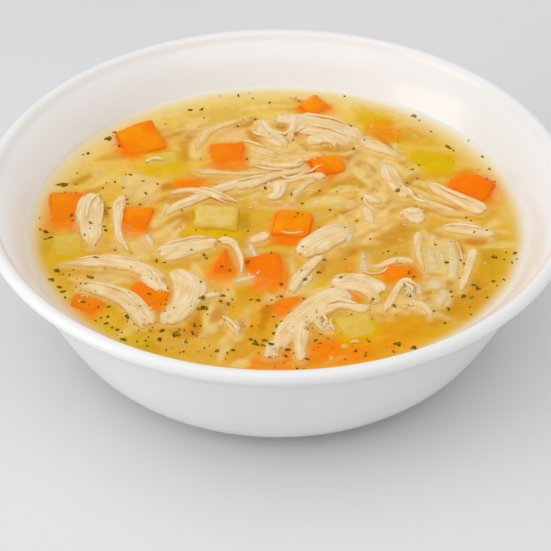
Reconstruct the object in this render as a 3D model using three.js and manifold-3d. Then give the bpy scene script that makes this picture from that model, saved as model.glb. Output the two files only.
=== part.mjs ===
// A round white soup bowl filled with chicken and rice soup: diced carrot and potato,
// pulled chicken, rice grains and chopped herbs, in a cloudy yellow broth.
// Millimetres, +Z up, origin on the table under the middle of the bowl.
// The near side, as one looks into the bowl across a table, is -Y.

import * as THREE from "three";
import { mergeVertices } from "three/addons/utils/BufferGeometryUtils.js";
import Module from "manifold-3d";

const wasm = await Module();
wasm.setup();

// The bowl
const RIM_RADIUS = 90;
const BOWL_HEIGHT = 53.3;
const LIP_RADIUS = 2.1;
const LIP_OVERHANG = 1.2;
const FOOT_RADIUS = 47.5;
const FOOT_WIDTH = 4;
const FOOT_HEIGHT = 2.5;
const FOOT_EDGE = 0.6;
const FLOOR_HEIGHT = 7;
const FLOOR_RADIUS = 38;
const WALL_STEPS = 7;
const LIP_STEPS = 5;
const TURN_STEPS = 48;

// The soup in it
const SOUP_LEVEL = 39;
const GAP = 0.3;
const CLEARANCE = 0.45;
const SEED = 7;

const COLOURS = {
  bowl: { color: 0xf4f4f2, roughness: 0.12 },
  broth: { color: 0xe3ae3f, roughness: 0.1 },
  carrot: { color: 0xf77b12, roughness: 0.35 },
  potato: { color: 0xe6cf7c, roughness: 0.4 },
  chicken: { color: 0xead2a4, roughness: 0.5 },
};

// Diced vegetables: the middle at the waterline, the length, width and height, the turn in plan
// and the tilt in degrees, and how far the top stands out of the broth. A wedge has three corners.
const CARROTS = [
  { at: [-44, 44], size: [14, 13, 13], turn: 24, tilt: 14, out: 4.2 },
  { at: [-15.5, 35.5], size: [11, 14, 9], turn: 8, tilt: 6, out: 1.3 },
  { at: [12, 63.5], size: [9, 9, 8], turn: 45, tilt: 10, out: 2 },
  { at: [15.5, 29.5], size: [10, 9, 9], turn: 18, tilt: 12, out: 3.2 },
  { at: [60, 18], size: [14, 12, 10], turn: -28, tilt: 12, out: 3 },
  { at: [-65.5, 7], size: [11, 18, 8], turn: 3, tilt: 3, out: 0.9 },
  { at: [-43.5, 1], size: [10, 13, 9], turn: -8, tilt: 8, out: 1.6 },
  { at: [4.5, -1.5], size: [12, 12, 11], turn: -5, tilt: 6, out: 2.8 },
  { at: [-16.2, -20.5], size: [10, 15, 9], turn: 0, tilt: 8, out: 1.8, wedge: true },
  { at: [-3.5, -24], size: [12, 16, 9], turn: 12, tilt: 4, out: 1 },
  { at: [4.5, -41.5], size: [8, 9, 8], turn: 25, tilt: 6, out: 0.8 },
  { at: [-39.5, -36.5], size: [12, 13, 8], turn: -38, tilt: 4, out: 0.9 },
  { at: [-56.5, -40.5], size: [10, 8, 7], turn: -30, tilt: 4, out: 0.7 },
  { at: [36, -25], size: [9, 7, 7], turn: 6, tilt: 5, out: 1 },
];
const POTATOES = [
  { at: [-19, 1.5], size: [14, 10, 10], turn: -8, tilt: 7, out: 3 },
  { at: [-36.5, 33], size: [11, 9, 9], turn: 10, tilt: 5, out: 1 },
  { at: [48.5, 33], size: [14, 10, 8], turn: -12, tilt: 4, out: 0.8 },
  { at: [-63.5, -12], size: [10, 12, 8], turn: 8, tilt: 3, out: 0.8 },
  { at: [23, -50.5], size: [12, 12, 9], turn: 20, tilt: 4, out: 1 },
];
const DICE_EDGE = 1.1;
const DICE_UNEVEN = 0.09;

// Pulled chicken: each shred's middle line, as x, y and, where it lies over something, how far
// it is raised above its float; its width; and its thickness where it isn't the usual one.
const SHREDS = [
  { path: [[-25.5, 36.5], [-24.5, 42], [-21.5, 49], [-15, 54.6], [-8.6, 57.6]], width: 3 },
  { path: [[-53.5, 17], [-57.2, 11], [-58.4, 2], [-56.6, -6], [-54.4, -12]], width: 7.6, thick: 3.8 },
  { path: [[-49, 16.5], [-49.2, 8, 0.5], [-49.2, 0, 0.6], [-48, -9], [-44, -16.5]], width: 2.4 },
  { path: [[-36.6, -16.6], [-33, -12.4], [-26.5, -9.4], [-18.6, -8.6]], width: 5.6, thick: 3.2 },
  { path: [[-15.2, -7.8], [-12.4, -12.4, 0.8], [-11.2, -18, 1.2], [-11, -24.6, 1]], width: 2.2 },
  { path: [[-8.6, -9.8], [-5.4, -7.6], [-1.9, -5.9, 0.8]], width: 3 },
  { path: [[-66.6, -20.6], [-58, -18.6], [-49, -19.2], [-41.4, -22.6], [-35.8, -28]], width: 4.6, thick: 3 },
  { path: [[-31.4, -22.4], [-26.2, -29.6], [-27, -39], [-33.2, -50]], width: 8, thick: 3.8 },
  { path: [[-58.6, -30.8], [-51, -33], [-43.6, -39.6, 0.6], [-37, -51]], width: 5.4, thick: 3.2 },
  { path: [[-41.8, -25.6], [-38.4, -29.6, 1.2], [-34.6, -36.4, 1.4]], width: 3 },
  { path: [[-16, -46.6], [-13, -50], [-10.4, -56]], width: 3.2 },
  { path: [[4.2, -17.2], [8.5, -11, 0.4], [15.6, -4.6], [23.4, 0.6]], width: 6.2, thick: 3.2 },
  { path: [[14, -15.6], [9.4, -21.4], [5.6, -28, 0.3], [3.2, -35.4, 0.6]], width: 3 },
  { path: [[30.6, -44.4], [33.4, -37.4], [36.6, -30, 1.4], [41, -31.6, 0.6]], width: 2.5 },
  { path: [[26.8, -22.6], [31, -22.6], [35, -19.6, 0.8], [40.6, -19.4]], width: 2.1 },
  { path: [[43, -3.4], [41.8, -9.4], [42.2, -17.6], [44.2, -26]], width: 2.8 },
  { path: [[58.6, -11.6], [57.8, -18], [55.8, -26], [53.2, -34.6]], width: 2.8 },
  { path: [[36, -38.4], [41, -39.6], [44.4, -42.6], [44, -47]], width: 2.4 },
  { path: [[50, -3.4], [57, -4.2], [66.4, -6]], width: 4.2, thick: 2.8 },
  { path: [[53.6, 1], [57.6, 0.4], [61.4, -0.8]], width: 2.4 },
  { path: [[38, 1.6], [41.5, 3.8], [45.4, 4.6]], width: 8.4, thick: 4.8 },
  { path: [[46.2, 22, 0.3], [51.4, 15.6, 0.6], [58, 10, 0.8], [64.6, 5]], width: 5, thick: 3 },
  { path: [[43.4, 14.4], [47.8, 9.6], [57, 4.4]], width: 3.2 },
  { path: [[34, 32.4], [34.8, 26], [37.6, 18.6], [40.4, 12.4]], width: 5.4, thick: 3 },
  { path: [[25.4, 15.6], [28.4, 12.6], [32, 9.4]], width: 3.6 },
  { path: [[26.6, 8.6], [27.6, 3], [29.4, -1.6]], width: 3.8 },
  { path: [[-6.6, 57], [-4.4, 50.6], [-0.6, 45.6], [3.6, 40.4]], width: 5.8, thick: 3 },
  { path: [[-8, 39.8], [-4, 37.4], [0.6, 35.6]], width: 3.8, thick: 3 },
];
const SHRED_THICK = 2.4;
const SHRED_FLOAT = 0.55;
const SHRED_SIDES = 8;
const THREAD_SIDES = 6;
const THREAD_WIDTH = 4.3;
const SHRED_VALLEY = 0.82;
const SHRED_WAVER = 0.12;
const SHRED_TAPER = 0.45;
const MM_PER_RING = 5;
const FEWEST_RINGS = 5;

// Heaps of chicken, each one piece: the shreds that show, and the pale core under them, given by
// its middle, half sizes, turn in plan and the height of its top over the broth.
const HEAPS = [
  {
    core: { at: [14, 49.5], half: [15, 9.5, 3.2], turn: -14, top: 1.5 },
    shreds: [
      { path: [[-2.6, 58.4], [7, 57.6, 1], [17, 55.6, 1], [25, 50], [27, 42]], width: 5.6, thick: 3.4 },
      { path: [[3.4, 53.2, 0.8], [12, 52.6, 1.6], [20.6, 49.4, 1.6], [25.4, 43, 0.4]], width: 6, thick: 3.4 },
      { path: [[7, 47.4, 0.8], [14, 47, 1.4], [20, 44, 0.8], [23.4, 39.4]], width: 5, thick: 3 },
      { path: [[9.4, 43.6, 0.4], [13, 42.4, 0.8], [15.8, 40.6, 0.3]], width: 5.4, thick: 3 },
      { path: [[5, 61.2, 0.4], [5, 56, 2.4], [4.6, 50, 2.6], [3.8, 44.4, 0.6]], width: 2.3 },
      { path: [[25.6, 44, 0.3], [32, 40.6], [40, 34.8]], width: 4.6 },
    ],
  },
  {
    core: { at: [-3, 25], half: [15, 7.5, 2.6], turn: 24, top: 0.9 },
    shreds: [
      { path: [[-38.4, -1.2], [-32, 6.6], [-25.6, 12.2], [-14, 21, 0.3], [-2, 25.6]], width: 4 },
      { path: [[-34.4, 15, 0.3], [-28, 17.2, 1], [-22, 15.8, 2], [-12, 10.6, 0.6]], width: 2.2 },
      { path: [[-27.6, 27.6], [-18, 26.4], [-9, 26.4, 0.3], [1, 28.4]], width: 2.8 },
      { path: [[-14, 17.4, 0.2], [-6, 21.6, 1], [2, 25.6, 1.2], [11.4, 29.6, 0.6]], width: 3 },
      { path: [[-5.6, 18.4], [1.4, 21, 0.6], [9, 24, 0.8], [15.4, 24.8, 0.8]], width: 2.6 },
      { path: [[-8.6, 33.8], [-1.6, 31, 0.4], [5, 30.6, 0.6], [9.4, 35]], width: 3 },
      { path: [[4, 11], [6.2, 16], [9.4, 20.8, 0.4], [12.4, 24.4, 0.4]], width: 2.4 },
      { path: [[-4.2, 14.4], [-1, 13.6, 0.6], [0.6, 17.6, 0.8], [2.6, 22]], width: 4.4, thick: 3.2 },
      { path: [[-34.4, 10.6], [-34.6, 6], [-36.4, 1.4]], width: 2 },
    ],
  },
  {
    core: { at: [18, -35], half: [9, 4.4, 2.6], turn: 28, top: 0.8 },
    shreds: [
      { path: [[-1.8, -61.8], [1.6, -52], [7.4, -43.2], [17, -35, 1], [26, -32, 1]], width: 7.6, thick: 4 },
      { path: [[15, -31, 0.6], [21, -29.6, 1.2], [27.4, -30.4, 1], [32.4, -34]], width: 6.4, thick: 3.8 },
      { path: [[12.4, -41.4], [19, -40.4, 0.5], [24, -41.6, 0.4], [27.8, -40.6, 0.2]], width: 3.6 },
      { path: [[27, -32.6, 0.6], [29.2, -36.6, 0.2], [27.4, -40.4]], width: 3.4 },
      { path: [[8.4, -45.2], [12.6, -48.8], [15, -53]], width: 3.6 },
      { path: [[5.6, -49.6, 0.3], [5.4, -57.6], [7, -67]], width: 4 },
      { path: [[0.6, -55.4, 0.2], [-0.8, -61], [0.8, -65.6]], width: 4.6 },
    ],
  },
];
const CORE_SIDES = 10;

// Rice grains that lie free in the broth: x, y and heading in degrees.
const GRAIN = { length: 8, width: 2.7, thick: 2.3, sink: 0.3 };
const GRAINS = [
  [46.2, -9, 85], [46, -16.2, 97], [49.4, -14, 82], [52.6, -13.6, 84], [46.4, -22.4, 92],
  [49.8, -21.6, 88], [53, -22.4, 92], [45.9, -30.8, 90], [48.6, -29.8, 88], [48.6, -37.6, 75],
  [38.8, -34.6, 105], [25.4, -18.6, 88], [21.4, -8.4, 80], [14.4, 11.4, 35], [20.4, 9.2, 20],
  [21.4, 26.4, 62], [24.6, 33.4, 70], [27.4, 28.6, 110], [29.4, 22.6, 80], [43.4, 28.4, 60],
  [-38.8, -9.8, 112], [-42.4, -12.6, 135], [-9.2, -28.4, 20], [-7.8, -14.6, 100],
  [-45, 22.4, 80], [-41.2, 18.2, 50], [-45, 12.6, 120], [-39.4, 13.4, 30],
  [-20.4, -36.4, 15], [-47.4, -27.4, -20], [-6.6, 12.4, 70], [8.4, -29.8, 55],
];

// Chopped herbs in the broth: x, y, width and turn, thickest along the near left edge.
const FLECK_THICK = 0.7;
const FLECKS = [
  [-67.6, 20.2, 3.6, 0], [-54.8, 45.4, 2.8, 30], [54, 40.6, 2.4, 100], [44, 58.4, 2, 20],
  [64.6, -17, 2.2, 70], [-13, 70.3, 1.8, 80], [-28.6, 61.6, 1.6, 10], [-25, 62, 1.7, 60],
  [-60.2, 37, 1.5, 40], [66.6, 28.4, 1.5, 95], [71, -15.6, 1.8, 60], [34, -41.4, 1.8, 130],
  [49.6, -42.4, 1.6, 120], [56.8, -37, 1.8, 10], [58.6, -32.6, 2, 80], [63.4, -29.4, 1.5, 15],
  [12, -25, 1.8, 10], [-66, -24, 2, 45], [-67.2, -28.4, 2, 150], [-56, -27.2, 2.4, 170],
  [-63.4, -34.2, 1.6, 20], [-49.8, -49, 1.8, 60], [-46.4, -52, 1.6, 95], [-29.6, -53.8, 2.8, 80],
  [-34.4, -56.4, 2, 50], [-44.6, -56.2, 2.2, 120], [-21.8, -41.6, 2.8, 60], [-16.2, -36.4, 1.8, 20],
  [-14.6, -40.2, 1.5, 100], [-6, -38.2, 1.6, 140], [-6.6, -58, 2.6, 70], [10.8, -57, 1.6, 45],
  [22, -61.6, 1.5, 85], [34, -58.4, 2.2, 30], [38.6, -60, 2, 45], [-17.4, -61.6, 1.6, 60],
  [-13, -61.2, 1.5, 15], [-24.2, -50, 1.5, 100], [-70.8, -4.6, 2, 120], [-54.4, -19, 1.6, 0],
];

function rotated(degrees) {
  return THREE.MathUtils.degToRad(degrees);
}

// A repeatable draw from 0 to 1 for the whole number n.
function draw(n) {
  const x = Math.sin((n + 1) * 12.9898 + SEED * 78.233) * 43758.5453;
  return x - Math.floor(x);
}

function solid(geometry) {
  const bare = new THREE.BufferGeometry().setAttribute(
    "position",
    (geometry.index ? geometry.toNonIndexed() : geometry).getAttribute("position"),
  );
  const merged = mergeVertices(bare, 1e-4);
  const corners = [];
  for (let i = 0; i < merged.index.count; i += 3) {
    const [a, b, c] = [0, 1, 2].map((k) => merged.index.getX(i + k));
    if (a !== b && b !== c && c !== a) corners.push(a, b, c);
  }
  return new wasm.Manifold(
    new wasm.Mesh({
      numProp: 3,
      vertProperties: new Float32Array(merged.attributes.position.array),
      triVerts: new Uint32Array(corners),
    }),
  );
}

function union(solids) {
  return solids.reduce((all, one) => all.add(one));
}

// The largest body of a solid, without the scraps that a cut may leave.
function largest(cut) {
  return cut.decompose().reduce((best, body) => (body.volume() > best.volume() ? body : best));
}

function meets(a, b) {
  return a.intersect(b).volume() > 1e-6;
}

function mesh(name, shape, look) {
  const { vertProperties, triVerts } = shape.getMesh();
  const geometry = new THREE.BufferGeometry()
    .setAttribute("position", new THREE.BufferAttribute(new Float32Array(vertProperties), 3))
    .setIndex(new THREE.BufferAttribute(new Uint32Array(triVerts), 1));
  geometry.computeVertexNormals();
  const made = new THREE.Mesh(geometry, new THREE.MeshStandardMaterial({ metalness: 0, ...look }));
  made.name = name;
  return made;
}

function lathe(profile) {
  return solid(new THREE.LatheGeometry(profile, TURN_STEPS).rotateX(Math.PI / 2));
}

// Profile points are (radius, height). This is the outside, from the foot up to the lip.
function outerWall() {
  return new THREE.CubicBezierCurve(
    new THREE.Vector2(FOOT_RADIUS, FOOT_HEIGHT),
    new THREE.Vector2(72, FOOT_HEIGHT + 1),
    new THREE.Vector2(67, 20),
    new THREE.Vector2(RIM_RADIUS - LIP_OVERHANG - 0.4, BOWL_HEIGHT - 2 * LIP_RADIUS),
  ).getPoints(WALL_STEPS);
}

function lip() {
  const middle = new THREE.Vector2(RIM_RADIUS - LIP_RADIUS, BOWL_HEIGHT - LIP_RADIUS);
  return Array.from({ length: LIP_STEPS + 1 }, (_, i) => {
    const angle = rotated(-40 + (200 * i) / LIP_STEPS);
    return new THREE.Vector2(Math.cos(angle), Math.sin(angle)).multiplyScalar(LIP_RADIUS).add(middle);
  });
}

// The inside, from the lip down to the flat floor, moved in by the inset.
function innerWall(inset = 0) {
  const curve = new THREE.CubicBezierCurve(
    new THREE.Vector2(RIM_RADIUS - 2 * LIP_RADIUS - 0.1, BOWL_HEIGHT - LIP_RADIUS),
    new THREE.Vector2(68, 39),
    new THREE.Vector2(76, FLOOR_HEIGHT),
    new THREE.Vector2(FLOOR_RADIUS, FLOOR_HEIGHT),
  );
  return Array.from({ length: WALL_STEPS + 1 }, (_, i) => {
    const along = curve.getTangent(i / WALL_STEPS);
    return curve.getPoint(i / WALL_STEPS).add(new THREE.Vector2(along.y, -along.x).multiplyScalar(inset));
  });
}

function bowl() {
  const inside = FOOT_RADIUS - FOOT_WIDTH;
  return lathe([
    new THREE.Vector2(0, FOOT_HEIGHT),
    new THREE.Vector2(inside - FOOT_EDGE, FOOT_HEIGHT),
    new THREE.Vector2(inside, FOOT_EDGE),
    new THREE.Vector2(inside + FOOT_EDGE, 0),
    new THREE.Vector2(FOOT_RADIUS - FOOT_EDGE, 0),
    new THREE.Vector2(FOOT_RADIUS, FOOT_EDGE),
    ...outerWall(),
    ...lip(),
    ...innerWall(),
    new THREE.Vector2(0, FLOOR_HEIGHT),
  ]);
}

// The room inside the bowl, clear of its wall, up to the given height.
function cavity(inset, top) {
  const wall = innerWall(inset);
  const inner = lathe([
    new THREE.Vector2(0, FLOOR_HEIGHT + inset),
    ...wall.toReversed(),
    new THREE.Vector2(0, wall[0].y),
  ]);
  const above = new THREE.CylinderGeometry(RIM_RADIUS, RIM_RADIUS, BOWL_HEIGHT, TURN_STEPS)
    .rotateX(Math.PI / 2)
    .translate(0, 0, top + BOWL_HEIGHT / 2);
  return inner.subtract(solid(above));
}

// A hand-cut piece of vegetable: an uneven four-sided or three-sided block with worn edges.
function dice({ at, size, turn, tilt, out, wedge }, number, grow = 0) {
  const [length, width, height] = size.map((side) => side / 2 - DICE_EDGE);
  const corners = wedge
    ? [[0, 1], [-1, -0.8], [1, -1]]
    : [[-1, -1], [1, -1], [1, 1], [-1, 1]];
  const outline = corners.map(([x, y], i) => {
    const uneven = (k) => 1 + DICE_UNEVEN * (2 * draw(number * 10 + 2 * i + k) - 1);
    return new THREE.Vector2(x * length * uneven(0), y * width * uneven(1));
  });
  const block = new THREE.ExtrudeGeometry(new THREE.Shape(outline), {
    depth: 2 * height,
    bevelSize: DICE_EDGE + grow,
    bevelThickness: DICE_EDGE + grow,
    bevelSegments: 1,
  });
  block.translate(0, 0, -height);
  block.rotateX(rotated(tilt)).rotateY(rotated(tilt * (draw(number) - 0.5)));
  block.rotateZ(rotated(turn));
  block.computeBoundingBox();
  return solid(block.translate(at[0], at[1], SOUP_LEVEL + out + grow - block.boundingBox.max.z));
}

// A shred of chicken: a ball drawn out along the middle line, flat, ridged and uneven in width.
function shred({ path, width, thick = SHRED_THICK }, number, grow = 0) {
  const line = new THREE.CatmullRomCurve3(
    path.map(([x, y, raised = 0]) => new THREE.Vector3(x, y, SOUP_LEVEL + SHRED_FLOAT + raised)),
  );
  const sides = width < THREAD_WIDTH ? THREAD_SIDES : SHRED_SIDES;
  const rings = Math.max(FEWEST_RINGS, Math.round(line.getLength() / MM_PER_RING));
  const ball = new THREE.SphereGeometry(1, sides, rings);
  const place = ball.getAttribute("position");
  const up = new THREE.Vector3(0, 0, 1);
  for (let i = 0; i < place.count; i += 1) {
    const ring = Math.floor(i / (sides + 1));
    const side = (i % (sides + 1)) % sides;
    const share = ring / rings;
    const along = line.getTangentAt(share);
    const across = new THREE.Vector3().crossVectors(along, up).normalize();
    const over = new THREE.Vector3().crossVectors(across, along);
    const full = Math.sin(Math.PI * share) ** SHRED_TAPER;
    const wavers = 1 + SHRED_WAVER * Math.sin(7 * share + number * 2.4);
    const ridge = side % 2 === 0 ? 1 : SHRED_VALLEY;
    const angle = (2 * Math.PI * side) / sides;
    const atPole = ring === 0 || ring === rings;
    const reach = (half) => (atPole ? 0 : half * full * wavers * ridge + grow);
    const point = line.getPointAt(share);
    point.addScaledVector(across, reach(width / 2) * Math.cos(angle));
    point.addScaledVector(over, reach(thick / 2) * Math.sin(angle));
    if (ring === 0) point.addScaledVector(along, -grow);
    if (ring === rings) point.addScaledVector(along, grow);
    place.setXYZ(i, point.x, point.y, point.z);
  }
  return solid(ball);
}

function heap({ core, shreds }, first, grow = 0) {
  const { at, half, turn, top } = core;
  const ball = new THREE.SphereGeometry(1, CORE_SIDES, CORE_SIDES / 2).rotateX(Math.PI / 2);
  ball.scale(...half.map((side) => side + grow)).rotateZ(rotated(turn));
  ball.translate(at[0], at[1], SOUP_LEVEL + top - half[2]);
  return union([solid(ball), ...shreds.map((one, i) => shred(one, first + i, grow))]);
}

function grain([x, y, heading], grow = 0) {
  const ball = new THREE.SphereGeometry(1, 5, 4).rotateZ(Math.PI / 2);
  ball.scale(GRAIN.length / 2 + grow, GRAIN.width / 2 + grow, GRAIN.thick / 2 + grow);
  return solid(ball.rotateZ(rotated(heading)).translate(x, y, SOUP_LEVEL + GRAIN.sink));
}

function fleck([x, y, width, turn], grow = 0) {
  const leaf = new THREE.OctahedronGeometry(1);
  leaf.scale(width / 2 + grow, width / 3 + grow, FLECK_THICK + grow);
  return solid(leaf.rotateZ(rotated(turn)).translate(x, y, SOUP_LEVEL));
}

function build() {
  const soup = new THREE.Group();
  const room = cavity(2 * GAP, BOWL_HEIGHT - LIP_RADIUS);
  const shreds = SHREDS.map((one, i) => shred(one, i));
  const shredRoom = union(SHREDS.map((one, i) => shred(one, i, CLEARANCE)));
  const heapNumber = (i) => SHREDS.length + 10 * i;
  const heaps = HEAPS.map((one, i) => largest(heap(one, heapNumber(i)).subtract(shredRoom)));
  const heapRoom = union(HEAPS.map((one, i) => heap(one, heapNumber(i), CLEARANCE)));

  let taken = shredRoom.add(heapRoom);
  const cutDice = (list, first) =>
    list.map((one, i) => {
      const piece = dice(one, first + i).intersect(room).subtract(taken);
      taken = taken.add(dice(one, first + i, CLEARANCE));
      return largest(piece);
    });
  const carrots = cutDice(CARROTS, 0);
  const potatoes = cutDice(POTATOES, CARROTS.length);

  let broth = largest(cavity(GAP, SOUP_LEVEL).subtract(taken));
  const small = [...GRAINS.map((one) => [grain(one), grain(one, GAP)])];
  small.push(...FLECKS.map((one) => [fleck(one), fleck(one, GAP)]));
  for (const [one, around] of small) {
    if (!meets(around, taken)) broth = broth.add(one);
  }

  soup.add(mesh("bowl", bowl(), COLOURS.bowl));
  soup.add(mesh("broth", broth, COLOURS.broth));
  const number = (i) => String(i + 1).padStart(2, "0");
  carrots.forEach((one, i) => soup.add(mesh(`carrot_${number(i)}`, one, COLOURS.carrot)));
  potatoes.forEach((one, i) => soup.add(mesh(`potato_${number(i)}`, one, COLOURS.potato)));
  shreds.forEach((one, i) => soup.add(mesh(`chicken_${number(i)}`, one, COLOURS.chicken)));
  heaps.forEach((one, i) => soup.add(mesh(`chicken_heap_${number(i)}`, one, COLOURS.chicken)));
  return soup;
}

export default build();
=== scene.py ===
"""The looks of a bowl of chicken and rice soup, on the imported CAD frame.

Lengths are in mm until a mesh is made.
"""

import math

import bpy
import numpy as np
from mathutils import Matrix, Vector
from mathutils.bvhtree import BVHTree
from mathutils.kdtree import KDTree


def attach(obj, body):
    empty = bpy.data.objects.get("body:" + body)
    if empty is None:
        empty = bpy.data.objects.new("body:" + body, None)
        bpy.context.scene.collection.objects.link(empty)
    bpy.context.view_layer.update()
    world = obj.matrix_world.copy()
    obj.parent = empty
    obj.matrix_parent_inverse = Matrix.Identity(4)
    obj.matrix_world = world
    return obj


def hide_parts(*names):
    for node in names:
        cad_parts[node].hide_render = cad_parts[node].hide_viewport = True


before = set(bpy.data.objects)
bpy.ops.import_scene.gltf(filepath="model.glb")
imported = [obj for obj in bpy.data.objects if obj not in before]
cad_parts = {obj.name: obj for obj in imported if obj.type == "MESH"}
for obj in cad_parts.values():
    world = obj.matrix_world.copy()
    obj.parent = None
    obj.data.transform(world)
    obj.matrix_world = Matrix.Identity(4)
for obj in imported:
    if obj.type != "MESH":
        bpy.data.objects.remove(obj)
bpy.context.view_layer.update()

MM = 0.001
# The bowl and the level of the broth, as the solids have them.
LEVEL = 39.0
RIM_RADIUS = 90.0
BOWL_HEIGHT = 53.3
LIP_RADIUS = 2.1
LIP_OVERHANG = 1.2
FOOT_RADIUS = 47.5
FOOT_WIDTH = 4.0
FOOT_HEIGHT = 2.5
FOOT_ROUND = 0.6
FLOOR_HEIGHT = 7.0
FLOOR_RADIUS = 38.0
# The broth stands this far off the bowl below, and its skin runs this far into the wall at the top.
GAP = 0.3
UNDER_WALL = 0.4
# The middle line of a shred lies this far over the level, and a die that stands out less than this is flush.
SHRED_FLOAT = 0.55
FLUSH = 1.8
# How fine the meshes are, and how often a remeshed skin is smoothed.
BOWL_TURNS = 224
GRID_STEPS = 280
STRIP_SIDES = 18
DICE_VOXEL = 0.42
DICE_WEAR = 36
SHRED_VOXEL = 0.3
SHRED_WEAR = 2
# The fine herb dust, the crumbs and the drops of fat: how many, their sizes and how far out they lie.
DUST_COUNT = 170
DUST_SIZES = (0.35, 0.5, 0.7)
DUST_REACH = 72.5
CRUMB_REACH = 71
FAT_COUNT = 60
FAT_SIZES = {0.3: 0.4, 0.5: 0.35, 0.8: 0.2, 1.2: 0.05}
FAT_REACH = 70
# Where the seeds of the herb bits and of the dust start.
BITS_SEED = 3000
DUST_SEED = 5000
# Rays start this many metres up and look straight down.
RAY_START = 0.08
DOWN = Vector((0, 0, -1))
# Every draw that has no seed of its own comes from here, in the order of the script.
rng = np.random.default_rng(11)

# Chicken: the middle line of each shred, as x, y and how far it is raised, then its width and thickness.
# Where they are plain to see, its share of that width at each point and the share of its length that each
# end tapers over come last.
SHREDS = [
    ([(-25.6, 35), (-25, 41), (-22, 48.6), (-15.4, 53.4), (-8.6, 56.6)],
     3, 2.4, (1.3, 1.3, 0.9, 0.6, 0.55), (0.4, 0.2)),
    ([(-56.4, 15), (-58, 8.6), (-58.2, 1.6), (-57.2, -5.4), (-55.4, -14)],
     9, 3.8, (0.6, 0.95, 1.05, 0.9, 0.5), (0.06, 0.25)),
    ([(-48.4, 15), (-49.2, 7, 0.5), (-49.2, -1, 0.6), (-48, -10), (-45.4, -17)],
     3.6, 2.4, (1.1, 1.2, 0.9, 0.6, 0.4), (0.1, 0.3)),
    ([(-36.6, -17.6), (-31.6, -14.8), (-25.6, -12.8), (-17.6, -10.4)],
     7.6, 3.2, (0.85, 1.1, 0.95, 0.75), (0.12, 0.08)),
    ([(-19, -9.4), (-14.8, -10.6, 0.8), (-12.2, -15.6, 1.2), (-10.9, -21, 1.2), (-10.8, -26, 0.8)],
     2.4, 2.4, (1.2, 1.1, 0.8, 0.75, 0.6), (0.06, 0.2)),
    ([(-9.4, -11), (-5.8, -8.4), (-2, -6.6, 0.8)], 4, 2.4, (0.8, 1.1, 1), (0.1, 0.06)),
    ([(-65.6, -21.4), (-58, -20.4), (-50, -20.6), (-42, -23.2), (-33.6, -30.4)],
     6, 3, (0.6, 0.9, 0.95, 1.05, 1.1), (0.3, 0.04)),
    ([(-31.4, -24), (-27, -32.6), (-28.4, -41), (-31.2, -47), (-33.4, -51)],
     9.2, 3.8, (0.6, 1.12, 0.9, 0.85, 0.75), (0.03, 0.08)),
    ([(-60, -32), (-51.4, -34), (-44.4, -38.6, 0.4), (-39.6, -45), (-36.4, -51.6)],
     7, 3.2, (0.6, 0.85, 0.98, 1.05, 0.95), (0.2, 0.08)),
    ([(-41.8, -27.6, 0.3), (-38.6, -29.2, 0.2), (-35.4, -32.4), (-33, -38)],
     5.4, 2.6, (0.5, 0.9, 1.1, 0.7), (0.06, 0.3)),
    ([(-16.4, -47), (-13.6, -50.2), (-11, -56.4)], 2.8, 2.4, (0.6, 1.1, 0.6), (0.1, 0.2)),
    ([(5.6, -18), (10.2, -12.4, 0.2), (17, -6.6), (25, -1.8)],
     9.4, 3.2, (0.55, 1.02, 1.15, 0.9), (0.06, 0.4)),
    ([(14, -16), (9.6, -21.6), (5.8, -29, 0.3), (3.6, -36, 0.4)],
     3.8, 2.4, (0.6, 1.1, 1, 0.85), (0.15, 0.1)),
    ([(30.6, -45), (32.8, -39), (35.4, -32.6, 0.6), (37.8, -30, 0.8), (42, -32.8, 0.4)],
     3, 2.4, (0.9, 1, 0.9, 0.6, 0.45), (0.1, 0.2)),
    ([(26.4, -21.6), (29.6, -22.8), (32.2, -21.6, 0.4), (34.8, -20.2, 0.6), (37.8, -19.8, 0.5),
      (41.4, -21.2)],
     2.1, 2.4),
    ([(42.8, -4.6), (42, -10.4), (42.2, -18.2), (44.2, -26.8)],
     3.2, 2.4, (0.9, 1.05, 0.9, 0.45), (0.04, 0.4)),
    ([(58.6, -13), (57.6, -19), (55.8, -27), (53.6, -35.4)], 3.6, 2.4, (1.1, 0.95, 0.65, 0.7), (0.06, 0.1)),
    ([(34.6, -39.6), (38.4, -39.8), (41.8, -41.2), (43.8, -44.2), (44, -47.6)], 2.4, 2.4),
    ([(48.4, -3.8), (54, -4), (60, -5.4), (66.4, -7.2)], 4.2, 2.8, (0.5, 0.95, 1.05, 0.7), (0.2, 0.1)),
    ([(53.6, 0), (57.6, -0.4), (61.4, -1.6)], 2.4, 2.4), ([(38, 0.6), (41.5, 2.6), (45.4, 3.4)], 8.4, 4.4),
    ([(46.4, 21.4), (51.6, 15, 0.3), (57.6, 9.4, 0.4), (64, 4)],
     6.6, 3, (0.7, 0.85, 1, 1.05), (0.25, 0.06)),
    ([(42.4, 17), (45, 11.6), (49.4, 7.8), (57, 3.6)], 2.8, 2.4, (0.5, 0.9, 1, 0.6), (0.25, 0.3)),
    ([(34.6, 32), (35.2, 25), (37.6, 17.6), (40.8, 11.4)], 6.4, 3, (1, 1, 0.8, 0.6), (0.3, 0.08)),
    ([(25.4, 15.2), (28.4, 12.2), (32, 9)], 3.6, 2.4), ([(26.6, 8.2), (27.6, 2.6), (29.4, -2)], 3.8, 2.4),
    ([(-6.6, 56), (-4.4, 49.6), (-0.6, 44.6), (3.6, 39.4)], 6.6, 3, (0.7, 1, 1, 0.7), (0.15, 0.2)),
    ([(-8, 39), (-4, 36.6), (0.6, 34.8)], 3.8, 3),
]
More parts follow.
